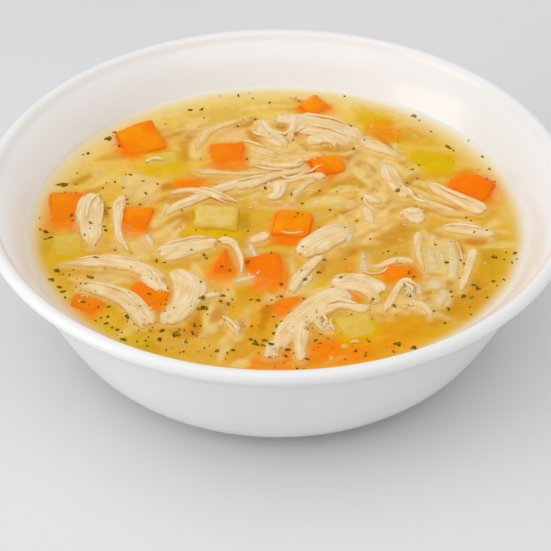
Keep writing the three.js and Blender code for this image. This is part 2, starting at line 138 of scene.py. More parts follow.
HEAPS = [
    [
        ([(1.6, 54), (8, 53), (15, 50), (22.4, 44.4)], 13, 3, (0.45, 0.85, 1.05, 0.8), (0.2, 0.15)),
        ([(-2, 57), (7, 54.6, 0.2), (16, 51.2, 0.3), (23.4, 46.4, 0.2), (26, 40.4)],
         8, 3.4, (0.7, 0.85, 1, 1, 0.6), (0.06, 0.2)),
        ([(5, 49, 0.2), (12, 49, 0.5), (18.4, 46, 0.5), (23, 41.4, 0.2)],
         8, 3.4, (0.7, 1, 1.05, 0.8), (0.15, 0.15)),
        ([(8.6, 43.6, 0.2), (12.4, 43, 0.4), (15.2, 41, 0.1)], 5, 3),
        ([(5, 58.6, 0.4), (5, 53.6, 1.4), (4.6, 48, 1.4), (3.8, 42, 0.6)], 2, 2.4),
        ([(25.6, 43, 0.3), (32, 39.6), (40, 33.8)], 5.4, 2.4, (0.9, 1, 0.6), (0.1, 0.5)),
    ],
    [
        ([(-38.4, -2), (-32.6, 5.8), (-26, 11.2), (-15, 19, 0.2), (-2, 24.8)],
         4.4, 2.4, (0.6, 0.9, 1, 1, 0.8), (0.3, 0.3)),
        ([(-34.4, 14.2, 0.3), (-28, 15.6, 0.8), (-22.4, 14.2, 1.4), (-12, 9.8, 0.5)], 1.9, 2.4),
        ([(-27.8, 27.2), (-18, 25.8), (-9, 25.4), (1, 27.6)], 2.4, 2.4),
        ([(-14, 16.8), (-6, 20.8, 0.5), (2, 24.8, 0.7), (11.4, 28.6, 0.4)], 3.2, 2.4),
        ([(-5.6, 17.8), (1.4, 20.4, 0.3), (9, 23.2, 0.5), (15.4, 24, 0.6)], 2.8, 2.4),
        ([(-8.6, 33), (-1.6, 30.2, 0.2), (5, 29.8, 0.3), (9.4, 34.2)], 3, 2.4),
        ([(4, 10.6), (6.2, 15.6), (9.4, 20.4, 0.2), (12.4, 24, 0.3)], 2.4, 2.4),
        ([(-4.2, 13.8), (-1, 13, 0.4), (0.6, 17, 0.5), (2.6, 21.4)], 4.4, 3.2),
        ([(-34.4, 10.2), (-34.6, 5.6), (-36.4, 1)], 2, 2.4),
    ],
    [
        ([(0, -62), (3.4, -53), (8.8, -45.4), (15, -38.8, 0.3), (21.6, -34.4, 0.4)],
         10.4, 4, (0.5, 0.7, 0.92, 1, 0.7), (0.06, 0.12)),
        ([(14.6, -32.6, 0.2), (20.6, -31.4, 0.4), (27, -33, 0.3), (32, -36.2)],
         8, 3.8, (0.6, 0.9, 1.1, 0.75), (0.1, 0.06)),
        ([(16, -31.4, 0.6), (20, -30.6, 0.9), (25, -31, 0.8), (29.6, -32.6, 0.4)],
         3, 2.6, (0.7, 1.2, 0.9, 1), (0.1, 0.1)),
        ([(16, -42.4), (20, -41.6, 0.4), (24, -43, 0.3), (27.8, -42.8, 0.2)],
         3.8, 2.4, (0.5, 0.7, 1.1, 0.9), (0.1, 0.06)),
        ([(25.6, -35.6, 0.2), (28.4, -38, 0.1), (26.6, -41)], 4, 2.4),
        ([(9.4, -47.2), (12.6, -50), (15.4, -53.6)], 3.8, 2.4),
        ([(7, -51.4, 0.3), (6.2, -58.6), (6.6, -67.4)], 4.6, 2.6, (1.15, 1, 0.6), (0.05, 0.08)),
        ([(0.4, -57, 0.2), (-1.6, -61.6), (-1.4, -66.2)], 4.6, 2.4),
    ],
]

# Single rice grains in the broth: x, y and heading in degrees.
GRAIN_SIZE = (8.0, 2.7, 2.3)
GRAINS = [
    (38.8, -34.6, 105), (21.4, -8.4, 80), (14.4, 11.4, 35), (20.4, 9.2, 20), (21.4, 26.4, 62),
    (24.6, 33.4, 70), (27.4, 28.6, 110), (29.4, 22.6, 80), (43.4, 28.4, 60), (-38.8, -9.8, 112),
    (-42.4, -12.6, 135), (-9.2, -28.4, 20), (-7.8, -14.6, 100), (-45, 22.4, 80), (-41.2, 18.2, 50),
    (-45, 12.6, 120), (-39.4, 13.4, 30), (-20.4, -36.4, 15), (-47.4, -27.4, -20), (-6.6, 12.4, 70),
    (8.4, -29.8, 55),
]

# The longer grains that crowd on the right: middle line, and the width at each end.
CROWD = [
    ([(45.4, -12.6), (46, -18.6), (46.4, -25)], 3.4, 4.8), ([(49, -15), (49.2, -19), (49.3, -24)], 2, 3),
    ([(51.8, -9), (52.3, -15), (52.4, -21), (51.4, -28.6)], 3.2, 3.6),
    ([(46.3, -27.6), (46.6, -34)], 5.2, 4.6), ([(48.8, -33), (48, -38), (46, -42)], 4, 3),
    ([(45.8, -7.2), (48.4, -8.6)], 3.4, 3), ([(41.4, -31), (41.5, -36.4)], 1.8, 2.6),
    ([(25.9, -15.6), (25.6, -20), (25.2, -25.6)], 1.6, 4.6),
]

# Herb flecks: x, y, width and turn, as the solids have them.
FLECKS = [
    (-67.6, 20.2, 3.6, 0), (-54.8, 45.4, 2.8, 30), (54, 40.6, 2.4, 100), (44, 58.4, 2, 20),
    (64.6, -17, 2.2, 70), (-13, 70.3, 1.8, 80), (-28.6, 61.6, 1.6, 10), (-25, 62, 1.7, 60),
    (-60.2, 37, 1.5, 40), (66.6, 28.4, 1.5, 95), (71, -15.6, 1.8, 60), (34, -41.4, 1.8, 130),
    (49.6, -42.4, 1.6, 120), (56.8, -37, 1.8, 10), (58.6, -32.6, 2, 80), (63.4, -29.4, 1.5, 15),
    (12, -25, 1.8, 10), (-66, -24, 2, 45), (-67.2, -28.4, 2, 150), (-56, -27.2, 2.4, 170),
    (-63.4, -34.2, 1.6, 20), (-49.8, -49, 1.8, 60), (-46.4, -52, 1.6, 95), (-29.6, -53.8, 2.8, 80),
    (-34.4, -56.4, 2, 50), (-44.6, -56.2, 2.2, 120), (-21.8, -41.6, 2.8, 60), (-16.2, -36.4, 1.8, 20),
    (-14.6, -40.2, 1.5, 100), (-6, -38.2, 1.6, 140), (-6.6, -58, 2.6, 70), (10.8, -57, 1.6, 45),
    (22, -61.6, 1.5, 85), (34, -58.4, 2.2, 30), (38.6, -60, 2, 45), (-17.4, -61.6, 1.6, 60),
    (-13, -61.2, 1.5, 15), (-24.2, -50, 1.5, 100), (-70.8, -4.6, 2, 120), (-54.4, -19, 1.6, 0),
]
# Smaller bits of herb on the broth and on the pieces: x, y and width.
HERB_BITS = [
    (-57.5, -18.5, 1.2), (-64.5, -32, 1.6), (-62.5, -37, 1.2), (-57, -40, 1.4), (-49.5, -41.5, 1.2),
    (-43.8, -46, 2.3), (-49.5, -46, 1.2), (-51.5, -46.5, 0.8), (-53, -47.8, 0.8), (-48, -51, 1),
    (-37, -52.5, 0.8), (-40.5, -57.5, 1), (-38, -57, 0.9), (-37.5, -59.5, 0.8), (-33.5, -52.5, 2.2),
    (-28.5, -52, 1), (-36.5, -19.5, 1.6), (-34, -20.3, 1.2), (-22.3, -16.5, 1.6), (-21.5, -18, 1.4),
    (-16, -6.5, 0.8), (-26, -15.3, 0.8), (-17, -23, 1.4), (-14.5, -24.5, 1.2), (-9, -20.8, 1.6),
    (-2, -16.6, 1.4), (-58.5, -8, 1), (-57, -2.5, 1.4), (-53, -2.2, 1.2), (-52.5, -4, 1.6), (-69, -8, 1.8),
    (-72.5, -3.5, 1.2), (-70.5, -8.5, 1.2), (-49, -14, 0.8), (-22.5, -38.5, 2.2), (-22.8, -42.5, 2.4),
    (-16.8, -38.7, 1.3), (-18.5, -35, 0.7), (-13.5, -38, 0.9), (-8, -38, 1.1), (-2, -38.3, 1),
    (-3.3, -41, 0.7), (-0.3, -36.8, 1), (-22.3, -50.3, 0.8), (-24.8, -53, 1), (-24.5, -54.2, 0.9),
    (-26.5, -57.8, 1.6), (-14.5, -62.5, 1), (-7.8, -50.5, 1), (-7.8, -56.5, 1.4), (-4, -57, 2),
    (-4.5, -59.2, 1.8), (-2, -60, 2), (-1.3, -53.8, 1.8), (-0.5, -50.5, 1.5), (-32, -61.2, 0.9),
    (-27, -61.8, 0.9), (-38, -36.2, 1.2), (-37.3, -42.5, 1), (-22.8, -31, 1), (7.3, -14.3, 0.8),
    (13.7, -19, 1), (7, -25.3, 0.9), (8, -29.3, 1.6), (17.5, -28, 1.3), (18.5, -29.8, 1.2), (1, -30.8, 1.8),
    (0.8, -36.6, 1.5), (7.5, -37.8, 0.8), (8.5, -38.5, 1.4), (3.3, -44.6, 1.2), (31.5, -15.5, 0.8),
    (33, -14.5, 0.8), (38.9, -25.8, 1.6), (40.3, -27.2, 1.4), (27.8, -38.8, 1.4), (38.5, -36.5, 1.8),
    (45.3, -43.8, 1.2), (48.3, -49, 0.9), (50.3, -20.5, 1.8), (54.5, -19.3, 0.9), (55.5, -21, 1),
    (47.5, -11.5, 0.9), (50.8, -34.6, 1.2), (51, -36.7, 0.9), (54.3, -36.4, 2.2), (57.8, -31, 1.4),
    (61.3, -37, 1), (67, -28.5, 1), (64.5, -31.5, 0.8), (70, -20, 1.2), (67.7, -18.6, 0.8),
    (71.5, -18.4, 0.8), (56, -45, 0.7), (26, -57.5, 1), (33, -62, 1), (24.8, -63.8, 1.1),
    (18.9, -65.3, 0.8), (12.2, -54.3, 1), (8.2, -65.5, 1.6), (2.7, -61.3, 2), (2.3, -64, 1.4),
    (59.5, -6.3, 0.9), (63.3, -5.3, 1), (45, -35, 0.9), (-52.5, 48.7, 1.3), (-50.7, 40.8, 1.2),
    (-62, 36.2, 0.9), (-24, 57, 0.9), (-46.2, 24.8, 1.3), (-51, 21.3, 1), (-54.5, 18, 1), (-48.2, 18, 0.9),
    (-42.2, 21.6, 1.2), (-37.6, 20, 1), (-41, 14.8, 1.4), (-46.8, 11.4, 1.6), (-46.6, 9.6, 1.4),
    (-42.6, 9.3, 0.8), (-52, 7.4, 1.6), (-63.3, 3.2, 1.8), (-62.8, 0.8, 1.2), (-29.5, 6, 0.9),
    (-13, 52.2, 1), (-7.3, 56, 1.3), (-4.2, 17.8, 1.8), (-10, 33.5, 1), (-2.7, 66, 1), (-63, 20, 0.8),
    (-73, 2.3, 0.8), (49.3, 49.2, 1), (55.8, 38.5, 1), (64.8, 35, 1.2), (61, 44, 0.6), (21.8, 69.8, 1),
    (44.3, 29.7, 1.2), (42.3, 27.7, 1), (37.3, 15.3, 2.3), (23.3, 52.5, 1.4), (14.8, 48.3, 1),
    (27.7, 42.5, 1), (5.1, 27.5, 1.7), (12.9, 16.6, 1), (7.7, 9.9, 1.4), (16, 6.5, 1.3), (26, 12.2, 0.9),
    (24, 0.8, 1), (6, 1.3, 1), (42.5, 8.1, 1.2), (57.5, 2.3, 1), (59, 0.7, 1), (67.7, 21.4, 0.8),
    (65, 19.5, 1), (4.3, 13.5, 1.3), (24.2, 39.3, 1.5), (18.2, 16, 0.6),
]

# The hues that show in the broth.
TINTS = {
    "carrot": (253, 130, 0), "glow": (242, 152, 0), "potato": (232, 194, 62), "lime": (230, 190, 0),
    "chicken": (243, 217, 182), "peach": (238, 190, 124), "pink": (240, 204, 178), "rice": (236, 208, 172),
    "amber": (206, 134, 0), "shade": (158, 102, 0), "gold": (220, 164, 10), "haze": (242, 216, 160),
    "olive": (198, 152, 0), "tan": (217, 168, 84), "straw": (232, 192, 24),
}
# Broad zones and things under the broth: hue, x, y, length, width, heading in degrees, and depth.
# The "shade" entries are painted shade in narrow gaps between pieces.
SUNK = [
    ('gold', 58, -10, 50, 70, 0, 9), ('haze', -58, 30, 34, 24, 60, 7), ('haze', -6, 66, 80, 14, 0, 7),
    ('gold', -45, -48, 60, 34, -40, 9), ('gold', 15, -56, 70, 26, 0, 9), ('tan', 12, 12, 76, 60, 20, 9),
    ('peach', 50, 52, 40, 26, -45, 8), ('gold', -66, -4, 14, 50, 0, 7), ('tan', 30, -10, 36, 24, 10, 5),
    ('glow', 15, -62, 52, 18, 2, 3), ('carrot', 14, -62, 26, 11, 4, 1.2),
    ('carrot', -3, -68, 18, 7, -6, 1.6), ('glow', 33, -52, 18, 24, 60, 3),
    ('gold', 41, -50, 16, 14, 0, 2.6), ('amber', 51, -44, 18, 11, 20, 2.6),
    ('amber', 59, -34, 8, 16, 20, 2.4), ('glow', -8, -50, 6, 14, 0, 3), ('carrot', 0, -33, 8, 8, 0, 2.4),
    ('glow', -1, -42, 8, 14, 0, 3), ('amber', -25, -46, 5, 13, 15, 0.8), ('amber', -24, -53, 12, 6, 10, 2),
    ('gold', -20, -63, 34, 8, -8, 3), ('peach', -15, -66, 24, 5, -4, 2.4),
    ('gold', -12, -57, 12, 12, 0, 2.4), ('peach', -20, -28, 18, 8, 0, 1.2),
    ('peach', -20, -31, 14, 8, 0, 1.6), ('gold', -9, -35, 18, 7, 0, 2), ('peach', -9.4, -27, 6, 5, 0, 0.4),
    ('potato', -46, -51, 18, 11, -30, 1.6), ('lime', -46.5, -43.5, 10, 4, -38, 0.8),
    ('glow', -51, -44, 16, 10, -45, 2), ('peach', -52, -26, 22, 8, -8, 1.2),
    ('pink', -49, -27, 11, 5, -4, 0.6), ('amber', -46, -23.4, 16, 2.4, -6, 1),
    ('olive', -70, -10, 5, 14, 0, 1.6), ('peach', -54, -15, 9, 12, 0, 2), ('peach', -44, -9, 10, 8, 0, 1.2),
    ('olive', -59, -9, 4, 12, 20, 1.4), ('amber', -30, -18.6, 12, 2.4, 10, 0.8),
    ('peach', -24, -19, 8, 4, 0, 1.4), ('amber', -30, 1, 12, 6, 45, 1.6), ('amber', -33, 10, 7, 4, 30, 1.4),
    ('lime', -19, -5.2, 15, 4.6, -6, 0.8), ('olive', -10.6, 0, 4, 10, 0, 1.4),
    ('glow', -27, 20, 15, 10, 12, 1.2), ('carrot', -27.6, 20.4, 10, 6, 10, 0.6),
    ('amber', -29, 13.6, 9, 4, 10, 1), ('lime', -37, 27.4, 14, 6, 4, 1),
    ('amber', -29.6, 38, 4.6, 16, 0, 1.4), ('peach', -34, 48, 8, 6, 0, 1),
    ('peach', -32, 45.2, 7, 3, 5, 0.4), ('gold', -29, 50, 6, 8, 0, 2), ('tan', -20, 58, 18, 8, 20, 3),
    ('pink', -15, 47.4, 10, 7.6, 8, 0.5), ('amber', -13, 52.4, 9, 3, 16, 0.8),
    ('amber', -8, 55.4, 5, 4, 60, 0.9), ('amber', -8, 46.6, 3.4, 8, 30, 0.8),
    ('peach', -38, 11.6, 10, 7, 20, 1), ('peach', -35.6, 20, 5, 9, 0, 1.2),
    ('rice', -44, 19.6, 10, 13, 10, 0.4), ('pink', 1, 37.4, 13, 7, -15, 0.9),
    ('peach', 5, 43, 9, 5, -50, 0.8), ('pink', -6, 32.4, 8, 4, 20, 0.9), ('peach', 8, 36.4, 6, 8, 0, 1),
    ('pink', -42.6, 23.8, 5, 3, 0, 0.3), ('peach', -20, -57, 30, 12, -5, 3),
    ('olive', -44, -56, 24, 7, -36, 2), ('chicken', -45, 22.4, 5, 7, 20, 0.3),
    ('chicken', -41, 16.6, 9, 4, 50, 0.3), ('pink', -38, 20, 4, 6, 20, 0.6),
    ('glow', -44, 37.6, 14, 6, 8, 1.4), ('carrot', -44.4, 38.4, 11, 4, 6, 0.6),
    ('gold', 2, 64, 18, 6, 0, 2.4), ('amber', 8, 60, 4, 4, 0, 1), ('lime', 32, 60.6, 14, 14, 0, 2),
    ('lime', 32, 57, 10, 12, 0, 1.4), ('glow', 33.6, 49.4, 11, 13, 10, 1.4), ('glow', 34, 47, 8, 9, 10, 1),
    ('gold', 39, 44.6, 7, 5, 0, 1.6), ('peach', 44, 54, 12, 14, -30, 2.4),
    ('gold', 44, 45.6, 14, 8, -30, 2.4), ('lime', 48.4, 31.6, 14, 10, -10, 0.8),
    ('gold', 51, 26.6, 9, 6, -20, 1.2), ('peach', 60, 35, 9, 10, -30, 2), ('glow', 68, 16, 6, 16, 0, 2.4),
    ('glow', 62, 24, 12, 9, -25, 1.4), ('peach', 68, 6, 8, 18, 0, 3), ('tan', 54, 3.6, 9, 3.4, 0, 0.6),
    ('pink', 54, 4.4, 8, 2, 0, 0.4), ('tan', 4, 35, 14, 12, 0, 1.6), ('pink', -5, 36.4, 10, 6, 0, 0.8),
    ('olive', 20, 20.6, 13, 7, -4, 1.2), ('amber', 17, 39.6, 8, 3, 0, 0.8),
    ('amber', 9, 41.4, 4, 4, 0, 0.8), ('shade', 24, 39.4, 4.6, 2, 0, 0.6),
    ('shade', 1.4, 52.4, 3.6, 3, 0, 0.6), ('amber', 7, 51.2, 4.6, 2, 0, 0.6),
    ('peach', 32, 38, 18, 12, -40, 1.4), ('gold', 44, 22, 5, 12, 20, 1.4), ('gold', 47, 16, 8, 3, -40, 0.8),
    ('amber', 44, 6.6, 4, 6, 0, 1.2), ('tan', 38, 8, 8, 6, 20, 1.6), ('rice', 14.6, 11.4, 13, 6, 24, 0.8),
    ('rice', 30, 13, 6, 9, 20, 0.8), ('rice', 26.4, 15, 4, 5, 20, 0.5), ('rice', 42, 30.4, 4, 3.4, 0, 0.4),
    ('rice', 21.6, 27.4, 5, 6, 10, 0.3), ('peach', 22, -4.6, 17, 9, 30, 0.9),
    ('tan', 33, -11, 20, 14, 0, 2), ('amber', 12.6, -20.6, 3.4, 9, 0, 0.9), ('tan', 16, -23, 12, 10, 30, 2),
    ('glow', 22, -23.4, 5, 7, 0, 0.8), ('lime', 34, -28.4, 10, 4.4, 20, 0.8),
    ('glow', 37.4, -23.6, 9, 7, 0, 1), ('carrot', 21.6, -37, 4.4, 5, 20, 0.3),
    ('amber', 15, -44.4, 6, 3, 40, 0.4), ('pink', 28.6, -42, 3, 10, 0, 1), ('rice', 46, -31, 6, 8, 0, 0.7),
    ('rice', 48.6, -18, 12, 18, 0, 1.6), ('tan', 46.6, -24, 12, 24, 0, 1.8),
    ('rice', 48, -31, 9, 10, 6, 1.4), ('rice', 48.6, -37, 4.6, 8, -15, 0.6), ('tan', 47.6, -5, 6, 8, 0, 1),
    ('gold', 40, -35, 10, 8, 0, 1), ('rice', 47.4, -18.6, 8, 14, 4, 0.7),
    ('rice', 52.2, -19, 5.4, 20, 2, 0.7), ('rice', 47, -33, 7, 16, 8, 0.7),
    ('amber', 45, -26, 6, 1.6, 0, 0.4), ('amber', 51, -31, 3, 5, 0, 0.6),
    ('amber', 55, -16, 2.6, 12, 10, 0.6), ('amber', 31, -9, 12, 8, 10, 3), ('olive', 64, -18, 8, 24, 0, 3),
    ('glow', -71, 2, 5, 18, 0, 2.4), ('amber', 30, 28, 2.4, 10, -20, 0.6),
    ('amber', 31, 20, 2, 7, -25, 0.5), ('amber', 23, 12.4, 5, 2, 30, 0.6), ('amber', 34, 9, 3, 7, 10, 0.9),
    ('amber', 21, 5, 8, 3, 20, 1), ('amber', 41, 22, 2.4, 8, -30, 0.6),
    ('chicken', 38, -41.6, 12, 6, 10, 1.2), ('lime', 33, -36.6, 4, 8, 20, 1.2),
    ('tan', -6, 20, 16, 9, 20, 1.2), ('tan', -12, 30, 22, 7, 10, 1.4), ('amber', -6, 26, 8, 2, 10, 0.8),
    ('olive', 5.4, 13.6, 4, 6, 0, 1), ('tan', 10, 32, 8, 5, 30, 1.2), ('peach', 12.6, 25.4, 9, 4, 10, 0.5),
    ('haze', 64, 44, 8, 14, -40, 4), ('peach', -66, 8, 10, 30, 0, 6), ('amber', 36, -5, 6, 14, -20, 2.6),
    ('olive', -56, 6, 3, 10, 0, 0.8), ('amber', -54.6, 8.6, 2.6, 8, 10, 0.5),
    ('shade', -53.2, 6, 1.6, 6, 10, 0.4), ('amber', 5, -9.6, 14, 4, -4, 0.8),
    ('carrot', 4, -10, 12, 3.4, -4, 0.4), ('amber', -36, -32, 4, 12, 25, 1),
    ('tan', -36, -30, 3, 10, 25, 0.8), ('gold', 29, -47, 4, 10, 0, 1.2), ('straw', 43, 45, 36, 22, -35, 7),
    ('carrot', 2.2, -41.4, 9, 6.5, 40, 0.7), ('glow', -35.6, -39.6, 6, 10, 10, 0.8),
    ('amber', -34.4, -43.6, 3.6, 6, 10, 0.9), ('glow', -4, -40, 8, 6, 0, 2.4),
]
# Shreds and threads of chicken under the broth: width, depth and path.
SUNK_SHREDS = [
    (3.6, 0.5, [(-25, -20.5), (-24, -26), (-22.4, -31)]),
    (2.4, 0.9, [(-19, -38), (-20, -44), (-21.6, -51)]), (2, 1.2, [(-16.4, -41), (-17.4, -47), (-19, -53)]),
    (2.6, 1.4, [(-9, -46), (-11, -52), (-14, -60)]), (4, 1.2, [(-24.4, 46), (-26.4, 40), (-26, 33)]),
    (4.4, 0.9, [(14, -3), (22, 3), (29, 9), (34, 14)]), (5, 0.7, [(12, -14), (20, -7), (28, -1), (33, 6)]),
    (3, 1.3, [(24, -8), (31, -4), (38, 2)]), (2.4, 0.8, [(19, 36), (26, 38), (33, 34), (39, 28)]),
    (3, 1, [(24, 40), (31, 35), (37, 30), (41, 24)]), (2, 0.7, [(28, 30), (31, 25), (33, 19)]),
    (2.6, 1, [(30, 34), (33, 29), (34, 23)]), (2, 0.5, [(41, 19), (45, 15), (50, 12), (56, 8)]),
    (3, 0.9, [(40, 24), (46, 19), (51, 13)]), (3.4, 0.4, [(21, 30), (25, 27), (27, 22)]),
    (3.6, 0.4, [(28, 37), (31, 32), (33, 26)]), (3, 0.4, [(16, 16), (21, 18), (26, 17)]),
    (3.6, 0.4, [(11, 10), (17, 12), (23, 11)]), (2.6, 0.4, [(30, 21), (32, 17), (33, 12)]),
    (2.6, 0.3, [(19, 4), (20, 0), (20.6, -4)]), (3, 0.5, [(33, 6), (36, 10), (40, 10)]),
    (2.6, 0.4, [(22, 37), (28, 41), (34, 40)]), (2.4, 0.6, [(26, 24), (29, 20), (31, 15), (33, 9)]),
    (3, 1.2, [(20, 16), (24, 12), (27, 7), (28, 0)]), (2, 0.7, [(9, 14), (12, 18), (18, 22)]),
    (2, 0.5, [(3, 10), (6, 15), (8, 20), (13, 24)]), (2.4, 0.8, [(-2, 12), (2, 17), (6, 22), (12, 26)]),
    (3, 0.9, [(-16, 14), (-9, 18), (-2, 21)]), (2, 0.5, [(-12, 12), (-6, 15), (0, 19)]),
    (3, 0.8, [(-22, 22), (-14, 24), (-6, 28)]), (2, 0.6, [(-20, 30), (-12, 31), (-3, 33), (6, 36)]),
    (3, 1, [(-8, 34), (0, 38), (8, 40)]), (2.4, 0.7, [(-6, 41), (0, 43), (6, 46)]),
    (2, 0.5, [(2, 30), (7, 33), (12, 37)]), (3, 0.9, [(-14, 44), (-8, 40), (-3, 36)]),
    (2.2, 0.8, [(-4, 46), (-1, 41), (4, 36)]), (2, 0.8, [(-44, -4), (-40, -8), (-35, -4), (-30, 2)]),
    (1.6, 0.5, [(-34, -2), (-31, -7), (-29, -11)]), (1.6, 0.4, [(-28.4, -1), (-30.6, -5), (-33, -10)]),
    (2, 0.7, [(-37, 0), (-33, 5), (-28, 9)]), (3, 1, [(-52, -16), (-46, -18), (-40, -20)]),
    (2, 0.8, [(-52.6, -22), (-54, -27), (-55, -30)]), (2.4, 0.8, [(-62, -28), (-54, -30), (-48, -34)]),
    (4, 1.1, [(-40, -46), (-42, -51), (-46, -55)]), (2, 1, [(-58, 18), (-55, 22), (-50, 24)]),
    (2, 0.7, [(-13, -13), (-9, -15), (-5, -14)]), (2.6, 0.5, [(-9, -12.6), (-7.4, -17), (-6.4, -20)]),
    (2.4, 0.7, [(10, -31), (7, -34), (4, -38)]), (2, 0.6, [(19.6, -31), (13, -33), (8, -35)]),
    (2.4, 0.9, [(34, -33), (38, -36), (43, -37)]), (2, 0.5, [(40, -30), (41.6, -34), (42, -39)]),
    (2.4, 0.8, [(44, -3), (46, -10), (46, -18)]), (2, 0.9, [(58, -2), (64, -4), (70, -5)]),
    (2.4, 1.2, [(-12, 62), (-4, 64), (6, 64)]), (2, 1.4, [(-34, 58), (-28, 56), (-22, 57)]),
    (3, 1.2, [(20, 62), (26, 66), (34, 64)]), (3, 1, [(8, 38), (14, 36), (18, 34)]),
    (1.6, 0.6, [(22, 44), (28, 46), (33, 42)]), (2, 0.9, [(36, 12), (42, 12), (48, 9)]),
    (3, 0.8, [(4, 20), (8, 26), (9, 33)]),
]
# Loose threads that lie on top: x, y and rise of each point, and thickness.
WISPS = [
    ([(24.4, -24.6), (28, -25.8), (31.4, -24.8), (32.6, -23)], 0.7),
    ([(0.8, -6.6), (4, -7.1), (7.6, -6.7)], 0.5), ([(37, -31), (39.6, -33.4), (38.6, -36)], 0.8),
    ([(-42, 31.6), (-39, 32.8), (-36, 32.4)], 1.1), ([(40, 17.4), (42, 12.6), (46, 9.2)], 1),
    ([(26.4, 12), (27.8, 8.2), (30.6, 4.4)], 0.8), ([(-48.4, -3, 0.5), (-47.6, -8, 0.4), (-45, -15)], 0.9),
    ([(-36.8, -42), (-37.6, -44.6, 0.9)], 0.7), ([(-24, 15.4, 1.2), (-17, 12, 0.8), (-12, 9.6)], 0.8),
    ([(-2, 24), (4, 23, 0.8), (9, 26, 0.9), (14, 27)], 0.9),
    ([(-8, 30, 0.4), (-3, 27.6, 0.8), (4, 27.4, 0.9)], 0.8),
    ([(-13, 19.6, 0.6), (-6, 23, 1), (1, 26, 1.2)], 0.8), ([(6, 30), (11, 33.4, 0.6), (15, 36)], 0.8),
    ([(-0.6, 48), (4, 47, 1.4), (9, 48.6, 1.6)], 0.9),
    ([(9, 56, 1.6), (16, 54.6, 1.7), (22, 51, 1.3)], 0.8),
    ([(11, 49.6, 1.6), (17, 47.4, 1.6), (22, 44, 0.8)], 0.8), ([(-12, 44), (-8, 42.6, 0.4), (-4, 40)], 0.9),
    ([(-9, 50), (-6.6, 47, 0.4), (-2, 43)], 0.9),
    ([(-16.4, -46, 0.3), (-13, -50.6, 0.6), (-11.4, -54)], 0.9),
    ([(-12.6, -47.4, 0.3), (-12, -50, 0.8), (-11, -53)], 0.8),
    ([(20.6, -58.4), (22, -57.6), (23.4, -58.2)], 0.9), ([(13, -46, 0.4), (14, -49, 1), (13, -52)], 1),
    ([(15.6, -47, 0.4), (15, -50, 0.8), (16.4, -53)], 0.9),
    ([(17, -29, 1.2), (22, -27, 1.4), (28, -28, 1)], 0.9),
    ([(15, -42, 0.5), (18, -40.6, 1), (23, -41.6, 0.4)], 0.8),
    ([(50, -3, 0.4), (56, -2.4, 1.2), (62, -4.4, 0.6)], 0.9),
    ([(-60, -19.6, 0.6), (-50, -17.8, 1), (-42, -20.6, 0.6)], 0.8),
    ([(-56, -31, 0.4), (-46, -36, 1.2), (-40, -44)], 0.8),
    ([(-38.4, -24.8), (-35.6, -29, 1.2), (-34.4, -33)], 0.8),
    ([(-55, 15, 0.6), (-58, 8, 1.4), (-58.6, 0, 1.2)], 0.8),
    ([(-54.4, 12), (-54, 4, 0.8), (-54.4, -4)], 0.8), ([(-47.6, 14), (-48, 8, 0.8), (-48, 2)], 0.8),
    ([(-34, -12.6, 0.8), (-27, -9.6, 1.3), (-20, -9)], 0.8), ([(47, 20), (53, 13.6, 1.4), (60, 8, 1)], 0.8),
    ([(53.8, -9.4), (54.8, -15), (55.2, -21)], 0.6),
]
# Where small torn bits lie thickest under the surface: x, y, spread, heading and how many.
DRIFTS = [
    (10, 30, 12, 35, 20), (-8, 22, 10, 15, 14), (31, 32, 9, -55, 16), (28, 8, 9, 60, 16),
    (47, -17, 7, 85, 14), (20, -8, 10, 25, 12), (-42, -6, 8, 60, 8), (-20, -45, 8, 70, 10),
    (-50, -21, 10, 0, 8), (5, -35, 10, 60, 10), (-25, 52, 12, 30, 8), (48, 8, 7, -30, 12),
    (8, 62, 16, 0, 8), (60, -8, 6, 0, 6), (41, -38, 7, 10, 10), (-8, -58, 12, 80, 8), (-40, 17, 7, 20, 8),
    (-58, 26, 9, 30, 4), (26, -46, 7, 20, 6), (2, 44, 8, -50, 12),
]
# The hues of those bits, with the share of each.
DRIFT_HUES = {"chicken": 0.28, "rice": 0.14, "pink": 0.16, "peach": 0.1, "tan": 0.06, "amber": 0.26}
# Where crumbs lie on the soup: x, y, spread and how many.
CRUMB_PLACES = [
    (-57, -38, 5, 4), (-12.5, -50.5, 3, 7), (-26.4, -57.6, 1.2, 4), (-21.6, -55, 0.8, 3),
    (13.6, -51, 3.6, 18), (21, -29, 6, 14), (-1.6, -62.4, 3, 10), (40, -33.6, 4, 16), (40, -41, 4, 8),
    (41.6, 3.4, 4, 8), (0, 20, 14, 10), (20, 36, 9, 8), (-9, -26.6, 3, 4),
]
# Sunk things with these hues have corners, run in fibres, or leave the surface flat.
SQUARE_HUES = ("carrot", "lime", "potato")
FIBROUS_HUES = ("chicken", "peach", "pink", "tan", "rice")
FLAT_HUES = ("amber", "shade", "olive", "glow", "gold")
# The glow in the broth round each kind of piece: hue, reach, strength, and how much further it goes in front.
HALOS = {
    "carrot": ("carrot", 1.0, 0.85, 2.4), "potato": ("lime", 1.0, 0.75, 2.2),
    "chicken": ("chicken", 0.8, 0.55, 1.2), "rice": ("rice", 1.0, 0.6, 0.3),
}
# Dice of a deeper colour in patches, and dice that the broth has coloured, by how much.
DEEPER = {
    "carrot_02": 0.35, "carrot_05": 0.4, "carrot_07": 0.25,
    "carrot_09": 0.7, "carrot_10": 0.6, "carrot_12": 0.3,
}
STEEPED = {"potato_02": 0.5, "potato_04": 0.3, "carrot_13": 0.4}
# How far red, green and blue light spread under the skin of a die.
CARROT_GLOW = (1.0, 0.3, 0.05)
POTATO_GLOW = (1.0, 0.85, 0.4)
ATTRIBUTE_TYPES = {"value": "FLOAT", "vector": "FLOAT_VECTOR", "color": "FLOAT_COLOR"}


